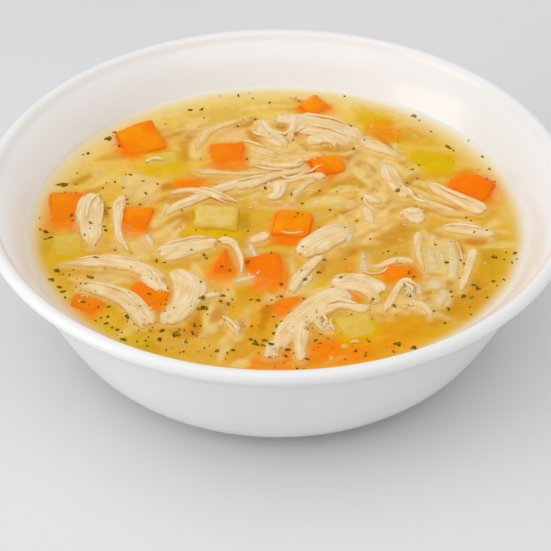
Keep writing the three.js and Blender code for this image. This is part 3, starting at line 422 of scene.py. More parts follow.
def linear(r, g, b):
    """An sRGB colour of 0 to 255 as linear values."""
    shares = (r / 255, g / 255, b / 255)
    return np.array([c / 12.92 if c <= 0.04045 else ((c + 0.055) / 1.055) ** 2.4 for c in shares])


def colour(r, g, b):
    return (*linear(r, g, b), 1.0)


def value_noise(p, seed=0):
    """Smooth noise from 0 to 1 at an array of points."""
    cell = np.floor(p).astype(np.int64)
    f = p - cell
    f = f * f * (3 - 2 * f)
    total = np.zeros(len(p))
    for corner in np.ndindex(2, 2, 2):
        at = cell + corner
        h = at[:, 0] * 374761393 + at[:, 1] * 668265263 + at[:, 2] * 1442695041 + seed * 974634777
        h = (h ^ (h >> 13)) * 1274126177 & 0x7FFFFFFF
        h = (h ^ (h >> 16)) & 0xFFFF
        weight = np.prod(np.where(np.array(corner) == 1, f, 1 - f), axis=1)
        total += weight * h / 65535
    return total


def cloud(p, size, seed=0, octaves=3):
    """Noise of several sizes, from about -1 to 1."""
    total, share = np.zeros(len(p)), 1.0
    for k in range(octaves):
        total += share * (2 * value_noise(p / size * 2**k + 17.3 * k, seed + k) - 1)
        share *= 0.5
    return total


def make(name, verts, faces, material, slot, smooth=True):
    """A mesh object from points in mm, riding on the part's one body."""
    data = bpy.data.meshes.new(name)
    corners = [tuple(int(i) for i in face) for face in faces]
    data.from_pydata([tuple(v) for v in np.asarray(verts) * MM], [], corners)
    data.update()
    if smooth:
        data.shade_smooth()
    piece = bpy.data.objects.new(name, data)
    bpy.context.scene.collection.objects.link(piece)
    data.materials.append(material)
    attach(piece, "root")
    return piece


def rows_of(items, name):
    """Three numbers of each item, as one row for each."""
    out = np.empty(len(items) * 3, np.float32)
    items.foreach_get(name, out)
    return out.reshape(-1, 3).astype(float)


def points_of(data):
    """A mesh's points in mm."""
    return rows_of(data.vertices, "co") / MM


def normals_of(data):
    return rows_of(data.vertex_normals, "vector")


def set_points(data, points):
    data.vertices.foreach_set("co", (points * MM).astype(np.float32).ravel())
    data.update()


def write(data, name, kind, values):
    """A value, vector or colour for each point of a mesh, for its material to read."""
    layer = data.attributes.new(name, ATTRIBUTE_TYPES[kind], "POINT")
    layer.data.foreach_set(kind, np.asarray(values, np.float32).ravel())


def remeshed(piece, voxel, wear):
    """The piece's mesh as one skin of even faces, with the bumps of that size worn off."""
    modifier = piece.modifiers.new("skin", "REMESH")
    modifier.mode = "VOXEL"
    modifier.voxel_size = voxel * MM
    modifier.use_smooth_shade = True
    smoother = piece.modifiers.new("wear", "SMOOTH")
    smoother.iterations = wear
    smoother.factor = 0.5
    bpy.context.view_layer.update()
    ready = bpy.data.meshes.new_from_object(piece.evaluated_get(bpy.context.evaluated_depsgraph_get()))
    piece.modifiers.clear()
    old, materials = piece.data, list(piece.data.materials)
    ready.materials.clear()
    for m in materials:
        ready.materials.append(m)
    piece.data = ready
    bpy.data.meshes.remove(old)
    ready.shade_smooth()
    return ready


# Materials


class Nodes:
    """Builds one material's node tree."""

    def __init__(self, name):
        self.material = bpy.data.materials.new(name)
        self.material.use_nodes = True
        self.tree = self.material.node_tree
        self.shader = self.tree.nodes["Principled BSDF"]

    def add(self, kind, **values):
        node = self.tree.nodes.new(kind)
        for key, value in values.items():
            setattr(node, key, value)
        return node

    def link(self, a, b):
        self.tree.links.new(a, b)

    def attribute(self, name, output="Fac"):
        return self.add("ShaderNodeAttribute", attribute_name=name).outputs[output]

    def noise(self, scale, detail=3.0, rough=0.5, stretch=None, where=None):
        """Noise of a size in 1/mm, over the object's own coordinates or over an attribute's."""
        node = self.add("ShaderNodeTexNoise")
        node.inputs["Scale"].default_value = scale
        node.inputs["Detail"].default_value = detail
        node.inputs["Roughness"].default_value = rough
        mapping = self.add("ShaderNodeMapping")
        mapping.inputs["Scale"].default_value = stretch or (1, 1, 1)
        if where is None:
            where = self.add("ShaderNodeTexCoord").outputs["Object"]
            mapping.inputs["Scale"].default_value = [s / MM for s in (stretch or (1, 1, 1))]
        self.link(where, mapping.inputs["Vector"])
        self.link(mapping.outputs["Vector"], node.inputs["Vector"])
        return node.outputs["Fac"]

    def ramp(self, value, stops):
        node = self.add("ShaderNodeValToRGB")
        marks = node.color_ramp.elements
        while len(marks) < len(stops):
            marks.new(0.5)
        for mark, (at, tint) in zip(marks, stops):
            mark.position = at
            mark.color = tint
        self.link(value, node.inputs["Fac"])
        return node.outputs["Color"]

    def shades(self, value, *stops):
        """A ramp between sRGB colours of 0 to 255, each with the value it stands at."""
        return self.ramp(value, [(at, colour(*tint)) for at, tint in stops])

    def fit(self, value, a, b, c, d):
        node = self.add("ShaderNodeMapRange")
        for key, number in zip(("From Min", "From Max", "To Min", "To Max"), (a, b, c, d)):
            node.inputs[key].default_value = number
        self.link(value, node.inputs["Value"])
        return node.outputs["Result"]

    def mix(self, share, a, b, mode="MIX"):
        node = self.add("ShaderNodeMix", data_type="RGBA", blend_type=mode)
        for given, socket in ((share, node.inputs[0]), (a, node.inputs[6]), (b, node.inputs[7])):
            if isinstance(given, bpy.types.NodeSocket):
                self.link(given, socket)
            else:
                socket.default_value = given
        return node.outputs[2]

    def bump(self, height, depth, distance=1.0, after=None):
        node = self.add("ShaderNodeBump")
        node.inputs["Strength"].default_value = depth
        node.inputs["Distance"].default_value = distance * MM
        self.link(height, node.inputs["Height"])
        if after:
            self.link(after, node.inputs["Normal"])
        return node.outputs["Normal"]

    def finish(
        self, base, roughness, normal=None, subsurface=0.0, radius=(1, 1, 1), reach=1.0, ior=1.4, shine=0.5
    ):
        s = self.shader.inputs
        self.link(base, s["Base Color"])
        self.link(roughness, s["Roughness"])
        if normal:
            self.link(normal, s["Normal"])
        s["Subsurface Weight"].default_value = subsurface
        s["Subsurface Radius"].default_value = radius
        s["Subsurface Scale"].default_value = reach * MM
        s["IOR"].default_value = ior
        s["Specular IOR Level"].default_value = shine
        return self.material


def porcelain():
    n = Nodes("porcelain")
    base = n.shades(n.noise(0.02, 2), (0.35, (239, 239, 238)), (0.65, (243, 242, 241)))
    rough = n.fit(n.noise(0.05, 3, 0.6), 0.3, 0.7, 0.18, 0.26)
    normal = n.bump(n.noise(0.08, 2), 0.12, 0.4)
    return n.finish(base, rough, normal, ior=1.5)


def broth_skin():
    """Cloudy liquid: its tint, with painted light and shade, is painted on the mesh, with fine specks of fat
    and a few slow ripples.
    """
    n = Nodes("broth")
    soup = n.attribute("soup", "Color")
    specks = n.ramp(n.noise(0.4, 3, 0.5), [(0.38, (0.96, 0.95, 0.92, 1)), (0.62, (1.03, 1.03, 1.04, 1))])
    base = n.mix(n.attribute("cloudy"), soup, specks, "MULTIPLY")
    rough = n.fit(n.noise(0.12, 3), 0.3, 0.7, 0.07, 0.2)
    ripple = n.bump(n.noise(0.16, 2), 0.25, 0.6)
    fat = n.bump(n.noise(0.5, 3), 0.06, 0.2, ripple)
    return n.finish(base, rough, fat, subsurface=0.1, radius=(1.0, 0.6, 0.2), reach=1.2, ior=1.34, shine=0.06)


def vegetable(name, light, mid, deep, soaked, grain, radius):
    """Cooked vegetable flesh: lighter and darker cells, wet skin, the broth's tint at the waterline, and a
    deeper colour that is mostly painted shade.
    """
    light, mid, deep, soaked = (colour(*tint) for tint in (light, mid, deep, soaked))
    n = Nodes(name)
    cells = n.noise(grain, 4, 0.6)
    base = n.ramp(cells, [(0.36, mid), (0.62, light)])
    spots = n.noise(1.6, 3, 0.7)
    base = n.mix(n.fit(spots, 0.58, 0.74, 0, 0.35), base, light)
    # Painted shade: the deeper colour on the steep sides and towards one side of each die, with deeper
    # patches on some dice.
    base = n.mix(n.attribute("side"), base, deep)
    base = n.mix(n.attribute("soak"), base, soaked)
    rough = n.fit(n.noise(0.7, 3), 0.3, 0.7, 0.2, 0.42)
    normal = n.bump(n.noise(0.5, 4, 0.6), 0.35, 0.5)
    normal = n.bump(n.noise(2.4, 3, 0.6), 0.2, 0.2, normal)
    return n.finish(base, rough, normal, subsurface=0.3, radius=radius, reach=1.8, ior=1.38, shine=0.08)


def chicken_flesh():
    """Cooked chicken: fibres along the shred, paler and darker, with tan seams between them as painted shade.
    """
    n = Nodes("chicken")
    fibre = n.attribute("fibre", "Vector")
    lines = n.noise(1.0, 4, 0.6, (0.1, 1.7, 1.2), fibre)
    base = n.shades(lines, (0.3, (228, 184, 108)), (0.48, (243, 210, 150)), (0.66, (252, 233, 196)))
    tone = n.shades(n.noise(0.2, 3), (0.35, (236, 196, 130)), (0.65, (252, 235, 202)))
    base = n.mix(0.4, base, tone)
    # Painted shade: the seams between the fibres are painted a darker tan.
    base = n.mix(n.attribute("groove"), base, colour(220, 164, 74))
    base = n.mix(n.attribute("soak"), base, colour(228, 176, 74))
    rough = n.fit(lines, 0.3, 0.7, 0.55, 0.34)
    normal = n.bump(lines, 0.4, 0.25)
    normal = n.bump(n.noise(1.1, 4, 0.7), 0.2, 0.25, normal)
    return n.finish(base, rough, normal, subsurface=0.35, radius=(1.0, 0.75, 0.4), reach=1.3, shine=0.25)


def rice_flesh():
    n = Nodes("rice")
    base = n.shades(n.noise(0.5, 3), (0.35, (230, 202, 150)), (0.65, (242, 222, 186)))
    base = n.mix(n.attribute("soak"), base, colour(226, 184, 100))
    rough = n.fit(n.noise(1.2, 3), 0.3, 0.7, 0.22, 0.4)
    normal = n.bump(n.noise(0.9, 2), 0.12, 0.2)
    return n.finish(base, rough, normal, subsurface=0.45, radius=(1.0, 0.85, 0.6), reach=1.8, shine=0.3)


def herb_leaf():
    n = Nodes("herbs")
    tone = n.noise(0.9, 2)
    base = n.shades(tone, (0.35, (108, 82, 0)), (0.55, (136, 110, 2)), (0.72, (170, 148, 16)))
    rough = n.fit(n.noise(3.0, 2), 0.3, 0.7, 0.45, 0.7)
    normal = n.bump(n.noise(3.5, 3), 0.4, 0.2)
    return n.finish(base, rough, normal, shine=0.12)


def oil_drop():
    n = Nodes("fat")
    base = n.shades(n.noise(0.8, 2), (0.35, (214, 162, 48)), (0.65, (235, 196, 92)))
    return n.finish(base, n.fit(n.noise(1.0, 2), 0.3, 0.7, 0.03, 0.08), ior=1.46)


def table_top():
    n = Nodes("table")
    base = n.shades(n.noise(0.004, 2), (0.4, (224, 224, 224)), (0.6, (229, 229, 229)))
    return n.finish(base, n.fit(n.noise(0.02, 2), 0.3, 0.7, 0.55, 0.65))


PORCELAIN, BROTH, CHICKEN = porcelain(), broth_skin(), chicken_flesh()
RICE, HERB, FAT = rice_flesh(), herb_leaf(), oil_drop()
CARROT = vegetable("carrot", (255, 158, 0), (254, 130, 0), (248, 96, 0), (252, 128, 0), 0.13, CARROT_GLOW)
CELERY = vegetable("celery", (232, 192, 20), (226, 182, 0), (214, 168, 0), (222, 180, 4), 0.25, POTATO_GLOW)
POTATO = vegetable(
    "potato", (236, 204, 120), (228, 190, 76), (218, 174, 20), (226, 182, 44), 0.25, POTATO_GLOW
)
FLESH = {"carrot": CARROT, "potato": POTATO, "potato_03": CELERY}


# The bowl


def bezier(a, b, c, d, steps):
    t = np.linspace(0, 1, steps + 1)[:, None]
    a, b, c, d = (np.array(p, float) for p in (a, b, c, d))
    return (1 - t) ** 3 * a + 3 * (1 - t) ** 2 * t * b + 3 * (1 - t) * t**2 * c + t**3 * d


def inner_wall(steps):
    """Radius and height down the inside, from the lip to the flat floor."""
    return bezier(
        (RIM_RADIUS - 2 * LIP_RADIUS - 0.1, BOWL_HEIGHT - LIP_RADIUS), (68, LEVEL), (76, FLOOR_HEIGHT),
        (FLOOR_RADIUS, FLOOR_HEIGHT), steps,
    )


def eased(one, other, pull, steps):
    """A soft bend that leaves the end of one line and runs into the start of another."""
    out, back = one[-1] - one[-2], other[1] - other[0]
    out, back = out / np.linalg.norm(out) * pull, back / np.linalg.norm(back) * pull
    return bezier(one[-1], one[-1] + out, other[0] - back, other[0], steps)[1:-1]


def closed_rings(count, sides):
    """The faces of a row of rings of points, with one more point to close each end."""
    faces = []
    for i in range(sides):
        j = (i + 1) % sides
        for k in range(count - 1):
            faces.append((k * sides + i, k * sides + j, (k + 1) * sides + j, (k + 1) * sides + i))
        faces.append((count * sides, j, i))
        faces.append(((count - 1) * sides + i, (count - 1) * sides + j, count * sides + 1))
    return faces


def turned(profile, turns):
    """A closed skin from a profile of radius and height that starts and ends on the axis."""
    profile = np.asarray(profile, float)
    angle = np.arange(turns) * 2 * math.pi / turns
    ring = profile[1:-1]
    verts = np.stack([
        ring[:, None, 0] * np.cos(angle), ring[:, None, 0] * np.sin(angle), np.repeat(ring[:, 1:], turns, 1)
    ], -1).reshape(-1, 3)
    verts = np.vstack([verts, [0, 0, profile[0, 1]], [0, 0, profile[-1, 1]]])
    return verts, closed_rings(len(ring), turns)


def rounded(start, stop, steps, radius, centre):
    """An arc of radius and height about a centre, between two angles in degrees."""
    arc = np.radians(np.linspace(start, stop, steps))
    return np.stack([np.cos(arc), np.sin(arc)], 1) * radius + centre


def bowl():
    inside = FOOT_RADIUS - FOOT_WIDTH
    lip = rounded(-16, 150, 19, LIP_RADIUS, (RIM_RADIUS - LIP_RADIUS, BOWL_HEIGHT - LIP_RADIUS))
    foot_in = rounded(180, 270, 5, FOOT_ROUND, (inside + FOOT_ROUND, FOOT_ROUND))
    foot_out = rounded(270, 360, 5, FOOT_ROUND, (FOOT_RADIUS - FOOT_ROUND, FOOT_ROUND))
    wall = bezier(
        (FOOT_RADIUS, FOOT_HEIGHT), (72, FOOT_HEIGHT + 1), (67, 20),
        (RIM_RADIUS - LIP_OVERHANG - 0.4, BOWL_HEIGHT - 2 * LIP_RADIUS), 60,
    )[:-3]
    inner = inner_wall(60)[1:]
    profile = np.vstack([
        [(0, FOOT_HEIGHT), (20, FOOT_HEIGHT), (inside - 1.2, FOOT_HEIGHT), (inside - 0.4, FOOT_HEIGHT - 0.3)],
        [(inside, FOOT_HEIGHT - 1.1)], foot_in, foot_out, wall, eased(wall, lip, 0.9, 7), lip,
        eased(lip, inner, 0.5, 5), inner, [(18, FLOOR_HEIGHT)], [(0, FLOOR_HEIGHT)],
    ])
    verts, faces = turned(profile, BOWL_TURNS)
    piece = make("bowl_skin", verts, faces, PORCELAIN, "bowl")
    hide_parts("bowl")


# Vegetables


def soak_of(points, reach=0.9):
    """How strongly the broth tints a point: 1 at the waterline, 0 above the reach."""
    return np.clip(1 - (points[:, 2] - LEVEL - 0.2) / reach, 0, 1) ** 1.5


def cooked_dice(node, material, seed):
    """The CAD die, with its edges cooked round, its cut faces uneven, and painted shade on its steep sides
    and towards +x, -y.
    """
    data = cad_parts[node].data.copy()
    data.materials.clear()
    piece = bpy.data.objects.new("cooked_" + node, data)
    bpy.context.scene.collection.objects.link(piece)
    data.materials.append(material)
    proud = points_of(data)[:, 2].max() - LEVEL
    flush = proud < FLUSH
    ready = remeshed(piece, DICE_VOXEL, DICE_WEAR)
    points, normals = points_of(ready), normals_of(ready)
    rough = (0.16 if flush else 0.4) * cloud(points, 5.0, seed) + 0.06 * cloud(points, 1.3, seed + 9)
    points += normals * (rough[:, None] + (0.2 if flush else 0))
    set_points(ready, points)
    # Painted shade: the steep sides take the deeper colour, darker than the top.
    side = 0.9 * np.clip(1.15 - normals[:, 2], 0, 1) ** 1.5
    middle, reach = points.mean(0), np.ptp(points[:, :2], axis=0).max()
    # Painted shade: every die grows deeper towards +x and -y, as if lit from the far left; the dice in DEEPER
    # also get random patches of deeper colour.
    across = ((points - middle) @ (1, -1, 0)) / reach
    patchy_tone_and_painted_shade = DEEPER.get(node, 0) * (1 + 0.6 * cloud(points, 9, seed + 3, 2)) + 0.45 * across
    write(ready, "side", "value", np.clip(np.maximum(side, patchy_tone_and_painted_shade), 0, 0.95))
    soak = 0.9 * soak_of(points, 1.5 if flush else 1.2)
    steeped = STEEPED.get(node, 0) * (1 + 0.5 * cloud(points, 5, seed + 4, 2))
    write(ready, "soak", "value", np.maximum(soak, steeped))
    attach(piece, "root")
    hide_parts(node)
    return piece


# Chicken


def line_through(path, step=0.6, level=LEVEL + SHRED_FLOAT):
    """Evenly spaced points on a smooth curve through the given ones, in mm."""
    p = np.array([(q[0], q[1], level + (q[2] if len(q) > 2 else 0)) for q in path], float)
    ends = np.vstack([2 * p[0] - p[1], p, 2 * p[-1] - p[-2]])
    fine = []
    for a, b, c, d in zip(ends, ends[1:], ends[2:], ends[3:]):
        t = np.linspace(0, 1, 24, endpoint=False)[:, None]
        bend, twist = 2 * a - 5 * b + 4 * c - d, 3 * b - a - 3 * c + d
        fine.append(0.5 * (2 * b + (c - a) * t + bend * t**2 + twist * t**3))
    fine = np.vstack([*fine, p[-1:]])
    along = np.concatenate([[0], np.cumsum(np.linalg.norm(np.diff(fine, axis=0), axis=1))])
    at = np.linspace(0, along[-1], max(8, int(along[-1] / step)))
    return np.stack([np.interp(at, along, fine[:, k]) for k in range(3)], 1), at


def frames_of(line):
    tangent = np.gradient(line, axis=0)
    tangent /= np.linalg.norm(tangent, axis=1)[:, None]
    across = np.cross(tangent, (0, 0, 1))
    across /= np.linalg.norm(across, axis=1)[:, None]
    return tangent, across, np.cross(across, tangent)


def tube(centres, across, over, wide, high, sides=8, square=1.0):
    """A closed tube with its own width and height at each ring; below 1, square fills out its corners."""
    angle = np.arange(sides) * 2 * math.pi / sides
    c, s = (np.sign(w) * np.abs(w) ** square for w in (np.cos(angle), np.sin(angle)))
    ring = centres[:, None] + across[:, None] * (wide[:, None] * c)[..., None]
    ring = ring + over[:, None] * (high[:, None] * s)[..., None]
    verts = np.vstack([ring.reshape(-1, 3), centres[:1], centres[-1:]])
    return verts, closed_rings(len(centres), sides)


def slab(seed, path, width, thick, shape=None, ends=None):
    """The strips of one shred: a flat body, strands in its top that run on past it, and loose threads."""
    line, at = line_through(path)
    _, across, over = frames_of(line)
    draw = np.random.default_rng(seed)
    share, length = at / at[-1], at[-1]
    if shape:
        marks = [share[np.hypot(line[:, 0] - q[0], line[:, 1] - q[1]).argmin()] for q in path]
        shape = np.interp(share, marks, shape)
    else:
        shape = 1 + 0.15 * np.sin(share * 6 + draw.uniform(0, 6))
    first, last = ends or draw.permutation([draw.uniform(0.2, 0.4), draw.uniform(0.05, 0.12)])
    wave = 0.05 * width * np.sin(share * draw.uniform(2, 5) + draw.uniform(0, 6))

    def waver(size, amount):
        """A slow change along the shred, up to the given amount either way."""
        return amount * cloud(np.column_stack([at, at * 0, at * 0]) + draw.uniform(0, 500), size, 3, 2)

    def strip(begin, finish, lane, half, top, square):
        """One tube along part of the shred, narrower and lower towards its ends."""
        keep = (share >= begin) & (share <= finish)
        if keep.sum() < 5:
            return
        s = share[keep]
        taper = np.minimum(np.clip((s - begin) / first, 0, 1), np.clip((finish - s) / last, 0, 1))
        taper = np.clip(taper, 0.03, 1) ** 0.55
        fade = np.minimum(s / max(first, 0.08), (1 - s) / max(last, 0.08))
        top = -0.4 + (top[keep] + 0.4) * np.clip(fade + 0.12, 0, 1) ** 0.6
        deep = -0.5 * thick * (0.35 + 0.65 * taper)
        centres = line[keep] + across[keep] * (lane[keep] * (0.5 + 0.5 * taper) + wave[keep])[:, None]
        centres[:, 2] += (top + deep) / 2 - SHRED_FLOAT
        wide, high = half[keep] * taper, (top - deep) / 2
        parts.append(tube(centres, across[keep], over[keep], wide, high, STRIP_SIDES, square))

    parts = []
    stands = 0.65 + 0.1 * width
    torn = 1.8 / length
    start, end = torn if first < 0.15 else 0.0, 1 - (torn if last < 0.15 else 0.0)
    left, right = 1 + waver(2.6, 0.11), 1 + waver(2.6, 0.11)
    strip(
        start, end, 0.23 * width * shape * (left - right), 0.23 * width * shape * (left + right),
        stands + waver(4, 0.12), 0.62,
    )
    count = 2 + round(width / 2.2)
    for k in range(count):
        lane = (k + 0.5) / count * 2 - 1 + draw.uniform(-0.2, 0.2)
        strip(
            start * draw.uniform(0, 0.9), 1 - (1 - end) * draw.uniform(0, 0.9),
            lane * 0.4 * width * shape + waver(7, 0.05 * width),
            width / count * draw.uniform(0.3, 0.8) * shape * (1 + waver(3, 0.2)),
            stands + draw.uniform(0.04, 0.26) + waver(5, 0.14) - 0.5 * lane**2, 0.9,
        )
    for _ in range(1 + (width > 5)):
        # A thread that has come loose at one end and lies beside the shred.
        from_end = draw.random() < 0.5
        keep = share > draw.uniform(0.55, 0.75) if from_end else share < draw.uniform(0.25, 0.45)
        if keep.sum() < 6:
            continue
        out = np.abs(share - share[keep][0 if from_end else -1])[keep]
        side = draw.choice([-1, 1]) * (width * 0.34 * shape[keep] + out * draw.uniform(1, 6)) + wave[keep]
        centres = line[keep] + across[keep] * side[:, None]
        centres[:, 2] += 0.1 - SHRED_FLOAT
        size = draw.uniform(0.28, 0.45) * np.sqrt(np.clip(1.02 - out / out.max(), 0.05, 1))
        parts.append(tube(centres, across[keep], over[keep], size, size * 1.2, 8))
    return parts, (line, at, across, over)


def joined(parts):
    verts, faces, start = [], [], 0
    for v, f in parts:
        verts.append(v)
        faces.extend([tuple(i + start for i in face) for face in f])
        start += len(v)
    return np.vstack(verts), faces


def chicken(name, shreds, node, seed):
    """One piece of pulled chicken, or a heap of them, grown together into one skin."""
    parts, lines = [], []
    for k, shred in enumerate(shreds):
        made, line = slab(seed + k, *shred)
        parts += made
        lines.append(line)
    piece = make(name, *joined(parts), CHICKEN, "chicken")
    ready = remeshed(piece, SHRED_VOXEL, SHRED_WEAR)
    points, normals = points_of(ready), normals_of(ready)
    best = np.full(len(points), 1e9)
    fibre = np.zeros((len(points), 3))
    for k, (line, at, across, over) in enumerate(lines):
        gap = np.linalg.norm(points[:, None] - line[None], axis=2)
        near = gap.argmin(1)
        d = gap[np.arange(len(points)), near]
        off = points - line[near]
        own = np.stack([at[near] + 50 * k, (off * across[near]).sum(1), (off * over[near]).sum(1)], 1)
        closer = d < best
        fibre[closer] = own[closer]
        best = np.minimum(best, d)
    ridges = 2 * value_noise(fibre * (0.08, 0.8, 0.4), seed) - 1
    fine = 2 * value_noise(fibre * (0.14, 1.7, 1.0), seed + 2) - 1
    seams = 2 * value_noise(fibre * (0.06, 0.6, 0.3), seed + 5) - 1
    groove = np.clip(1 - np.abs(seams) / 0.12, 0, 1)
    relief = 0.1 * ridges + 0.06 * fine - 0.09 * groove + 0.13 * cloud(points, 3.4, seed, 3)
    points += normals * relief[:, None]
    set_points(ready, points)
    write(ready, "fibre", "vector", fibre)
    # The material paints the seams darker: painted shade in the creases.
    write(ready, "groove", "value", 0.4 * groove)
    write(ready, "soak", "value", soak_of(points, 1.3) * 0.95)
    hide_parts(node)
    return piece


def threads(tree):
    """Loose single fibres that lie on whatever is under them."""
    parts = []
    for path, thick in WISPS:
        line, at = line_through(path, 0.5, 0)
        share = at / at[-1]
        rise = line[:, 2].copy()
        under = np.array([surface_height(tree, x, y) for x, y, _ in line])
        for _ in range(4):
            under[1:-1] = (under[:-2] + 2 * under[1:-1] + under[2:]) / 4
        line[:, 2] = under + 0.2 * thick + 0.2 * rise
        _, across, over = frames_of(line)
        size = thick / 2 * np.clip(np.minimum(share, 1 - share) / 0.25, 0.15, 1) ** 0.5
        parts.append(tube(line, across, over, size * 1.15, size, 10))
    piece = make("loose_threads", *joined(parts), CHICKEN, "chicken")
    points = points_of(piece.data)
    write(piece.data, "fibre", "vector", points * 0.6)
    write(piece.data, "soak", "value", 0.8 * soak_of(points, 0.7))
    return piece


# Rice, herbs, crumbs and fat


def ball(rings, sides):
    """A unit ball along X, as points and faces."""
    tilt = np.linspace(0, math.pi, rings + 1)[1:-1]
    turn = np.arange(sides) * 2 * math.pi / sides
    x = -np.cos(tilt)[:, None] + 0 * turn
    y = np.sin(tilt)[:, None] * np.cos(turn)
    z = np.sin(tilt)[:, None] * np.sin(turn)
    verts = np.vstack([np.stack([x, y, z], -1).reshape(-1, 3), [-1, 0, 0], [1, 0, 0]])
    faces = []
    for i in range(sides):
        j = (i + 1) % sides
        for k in range(rings - 2):
            faces.append((k * sides + i, (k + 1) * sides + i, (k + 1) * sides + j, k * sides + j))
        faces.append((len(verts) - 2, i, j))
        faces.append(((rings - 2) * sides + i, len(verts) - 1, (rings - 2) * sides + j))
    return verts, faces


def rice():
    parts = []
    shape, faces = ball(14, 12)
    for x, y, heading in GRAINS:
        v = shape.copy()
        blunt = np.sign(v[:, 0]) * np.abs(v[:, 0]) ** 0.8
        v[:, 1:] *= 1 + 0.14 * rng.uniform(-1, 1) * v[:, :1]
        v[:, 0] = blunt
        v *= np.array(GRAIN_SIZE) / 2 * rng.uniform((0.94, 0.98, 0.95), (1.16, 1.14, 1.02))
        v[:, 1] += rng.uniform(-0.6, 0.6) * (v[:, 0] / 4) ** 2
        v += normals_like(v) * (0.12 * cloud(v + rng.uniform(0, 50), 1.6, 3, 2))[:, None]
        lean = Matrix.Rotation(math.radians(rng.uniform(-5, 5)), 3, "Y")
        turn = Matrix.Rotation(math.radians(heading + rng.uniform(-6, 6)), 3, "Z")
        blurred = y > 5 or x < -40
        parts.append((v @ np.array(turn @ lean).T + (x, y, LEVEL - (0.75 if blurred else 0.25)), faces))
    for path, *widths in CROWD:
        line, at = line_through(path, 0.4, LEVEL - 0.3)
        _, across, over = frames_of(line)
        width = np.interp(at, (0, at[-1]), widths)
        ends = np.clip(np.minimum(at, at[-1] - at) / (0.5 * width), 0.02, 1)
        ends = np.sqrt(1 - (1 - ends) ** 2) * (1 + 0.05 * np.sin(at * rng.uniform(0.3, 0.6) + widths[0]))
        parts.append(tube(line, across, over, ends * width / 2, ends * rng.uniform(0.9, 1.1), 16, 0.8))
    verts, faces = joined(parts)
    piece = make("rice_grains", verts, faces, RICE, "broth")
    write(piece.data, "soak", "value", 0.95 * soak_of(verts, 1.0))
    return piece


def normals_like(v):
    return v / np.maximum(np.linalg.norm(v, axis=1), 1e-6)[:, None]


def leaf(width, seed):
    """A torn, slightly curled flake of a herb."""
    draw = np.random.default_rng(seed)
    count = 9
    turn = np.sort(draw.uniform(0, 2 * math.pi, count))
    far = width / 2 * draw.uniform(0.55, 1.1, count)
    edge = np.stack([far * np.cos(turn), 0.62 * far * np.sin(turn), draw.uniform(-0.1, 0.22, count)], 1)
    top = edge + (0, 0, 0.1)
    verts = np.vstack([edge - (0, 0, 0.12), top, [0, 0, 0.32], [0, 0, -0.2]])
    faces = []
    for i in range(count):
        j = (i + 1) % count
        faces += [(i, j, count + j, count + i), (count + i, count + j, 2 * count), (j, i, 2 * count + 1)]
    return verts, faces


def turned_about(v, degrees, at):
    c, s = math.cos(math.radians(degrees)), math.sin(math.radians(degrees))
    return v @ np.array([[c, s, 0], [-s, c, 0], [0, 0, 1]]) + at


def surface_height(tree, x, y):
    """The height of whatever shows at x, y."""
    hit = tree.ray_cast(Vector((x * MM, y * MM, RAY_START)), DOWN)
    return LEVEL if hit[0] is None else max(hit[0].z / MM, LEVEL)


def herbs(tree):
    parts = []

    def lay(width, x, y, turn, seed):
        v, f = leaf(width * 1.15, seed)
        parts.append((turned_about(v, turn, (x, y, surface_height(tree, x, y) + 0.05)), f))

    for k, (x, y, width, turn) in enumerate(FLECKS):
        lay(width, x, y, turn, 40 * k)
        if width > 1.9:
            lay(0.6 * width, x + 0.3 * width, y - 0.25 * width, turn + 40, 40 * k + 1)
    for k, (x, y, width) in enumerate(HERB_BITS):
        lay(width, x, y, rng.uniform(0, 360), BITS_SEED + k)
    for k in range(DUST_COUNT):
        # Half of the dust keeps to the near left edge, and the rest is spread over the soup.
        near_left = k % 2 == 0
        way = math.radians(rng.uniform(200, 300) if near_left else rng.uniform(0, 360))
        far = DUST_REACH * math.sqrt(rng.uniform(0.4, 1) if near_left else rng.uniform(0, 1))
        width = rng.choice(DUST_SIZES)
        lay(width, far * math.cos(way), far * math.sin(way), rng.uniform(0, 360), DUST_SEED + k)
    return make("herb_flecks", *joined(parts), HERB, "broth", smooth=False)


def crumbs(tree):
    """Short loose fibres and crumbs of chicken and rice."""
    parts = []
    shape, faces = ball(6, 6)
    for cx, cy, reach, count in CRUMB_PLACES:
        for _ in range(count):
            x, y = cx + rng.normal(0, reach / 2), cy + rng.normal(0, reach / 2)
            if math.hypot(x, y) > CRUMB_REACH:
                continue
            size = np.array([rng.uniform(0.35, 1.1), rng.uniform(0.25, 0.55), rng.uniform(0.2, 0.35)])
            v = shape * size * (1 + 0.25 * cloud(shape * 2 + rng.uniform(0, 90), 1.0, 5, 2))[:, None]
            place = (x, y, surface_height(tree, x, y) + 0.02)
            parts.append((turned_about(v, rng.uniform(0, 360), place), faces))
    piece = make("crumbs", *joined(parts), CHICKEN, "chicken")
    points = points_of(piece.data)
    write(piece.data, "fibre", "vector", points * 0.7)
    write(piece.data, "soak", "value", 0.55 * soak_of(points, 0.6) + 0.1)
    return piece


def fat_eyes(height):
    """Flat drops of fat that float on the broth."""
    parts = []
    shape, faces = ball(8, 16)
    shape = shape[:, [1, 2, 0]]
    for _ in range(FAT_COUNT):
        way, far = rng.uniform(0, 2 * math.pi), FAT_REACH * math.sqrt(rng.uniform(0.15, 1))
        x, y = far * math.cos(way), far * math.sin(way)
        size = rng.choice(list(FAT_SIZES), p=list(FAT_SIZES.values()))
        rise = height(x, y)
        if rise is not None:
            parts.append((shape * (size, size, 0.1) + (x, y, rise - 0.02), faces))
    return make("fat_eyes", *joined(parts), FAT, "broth")


# The broth


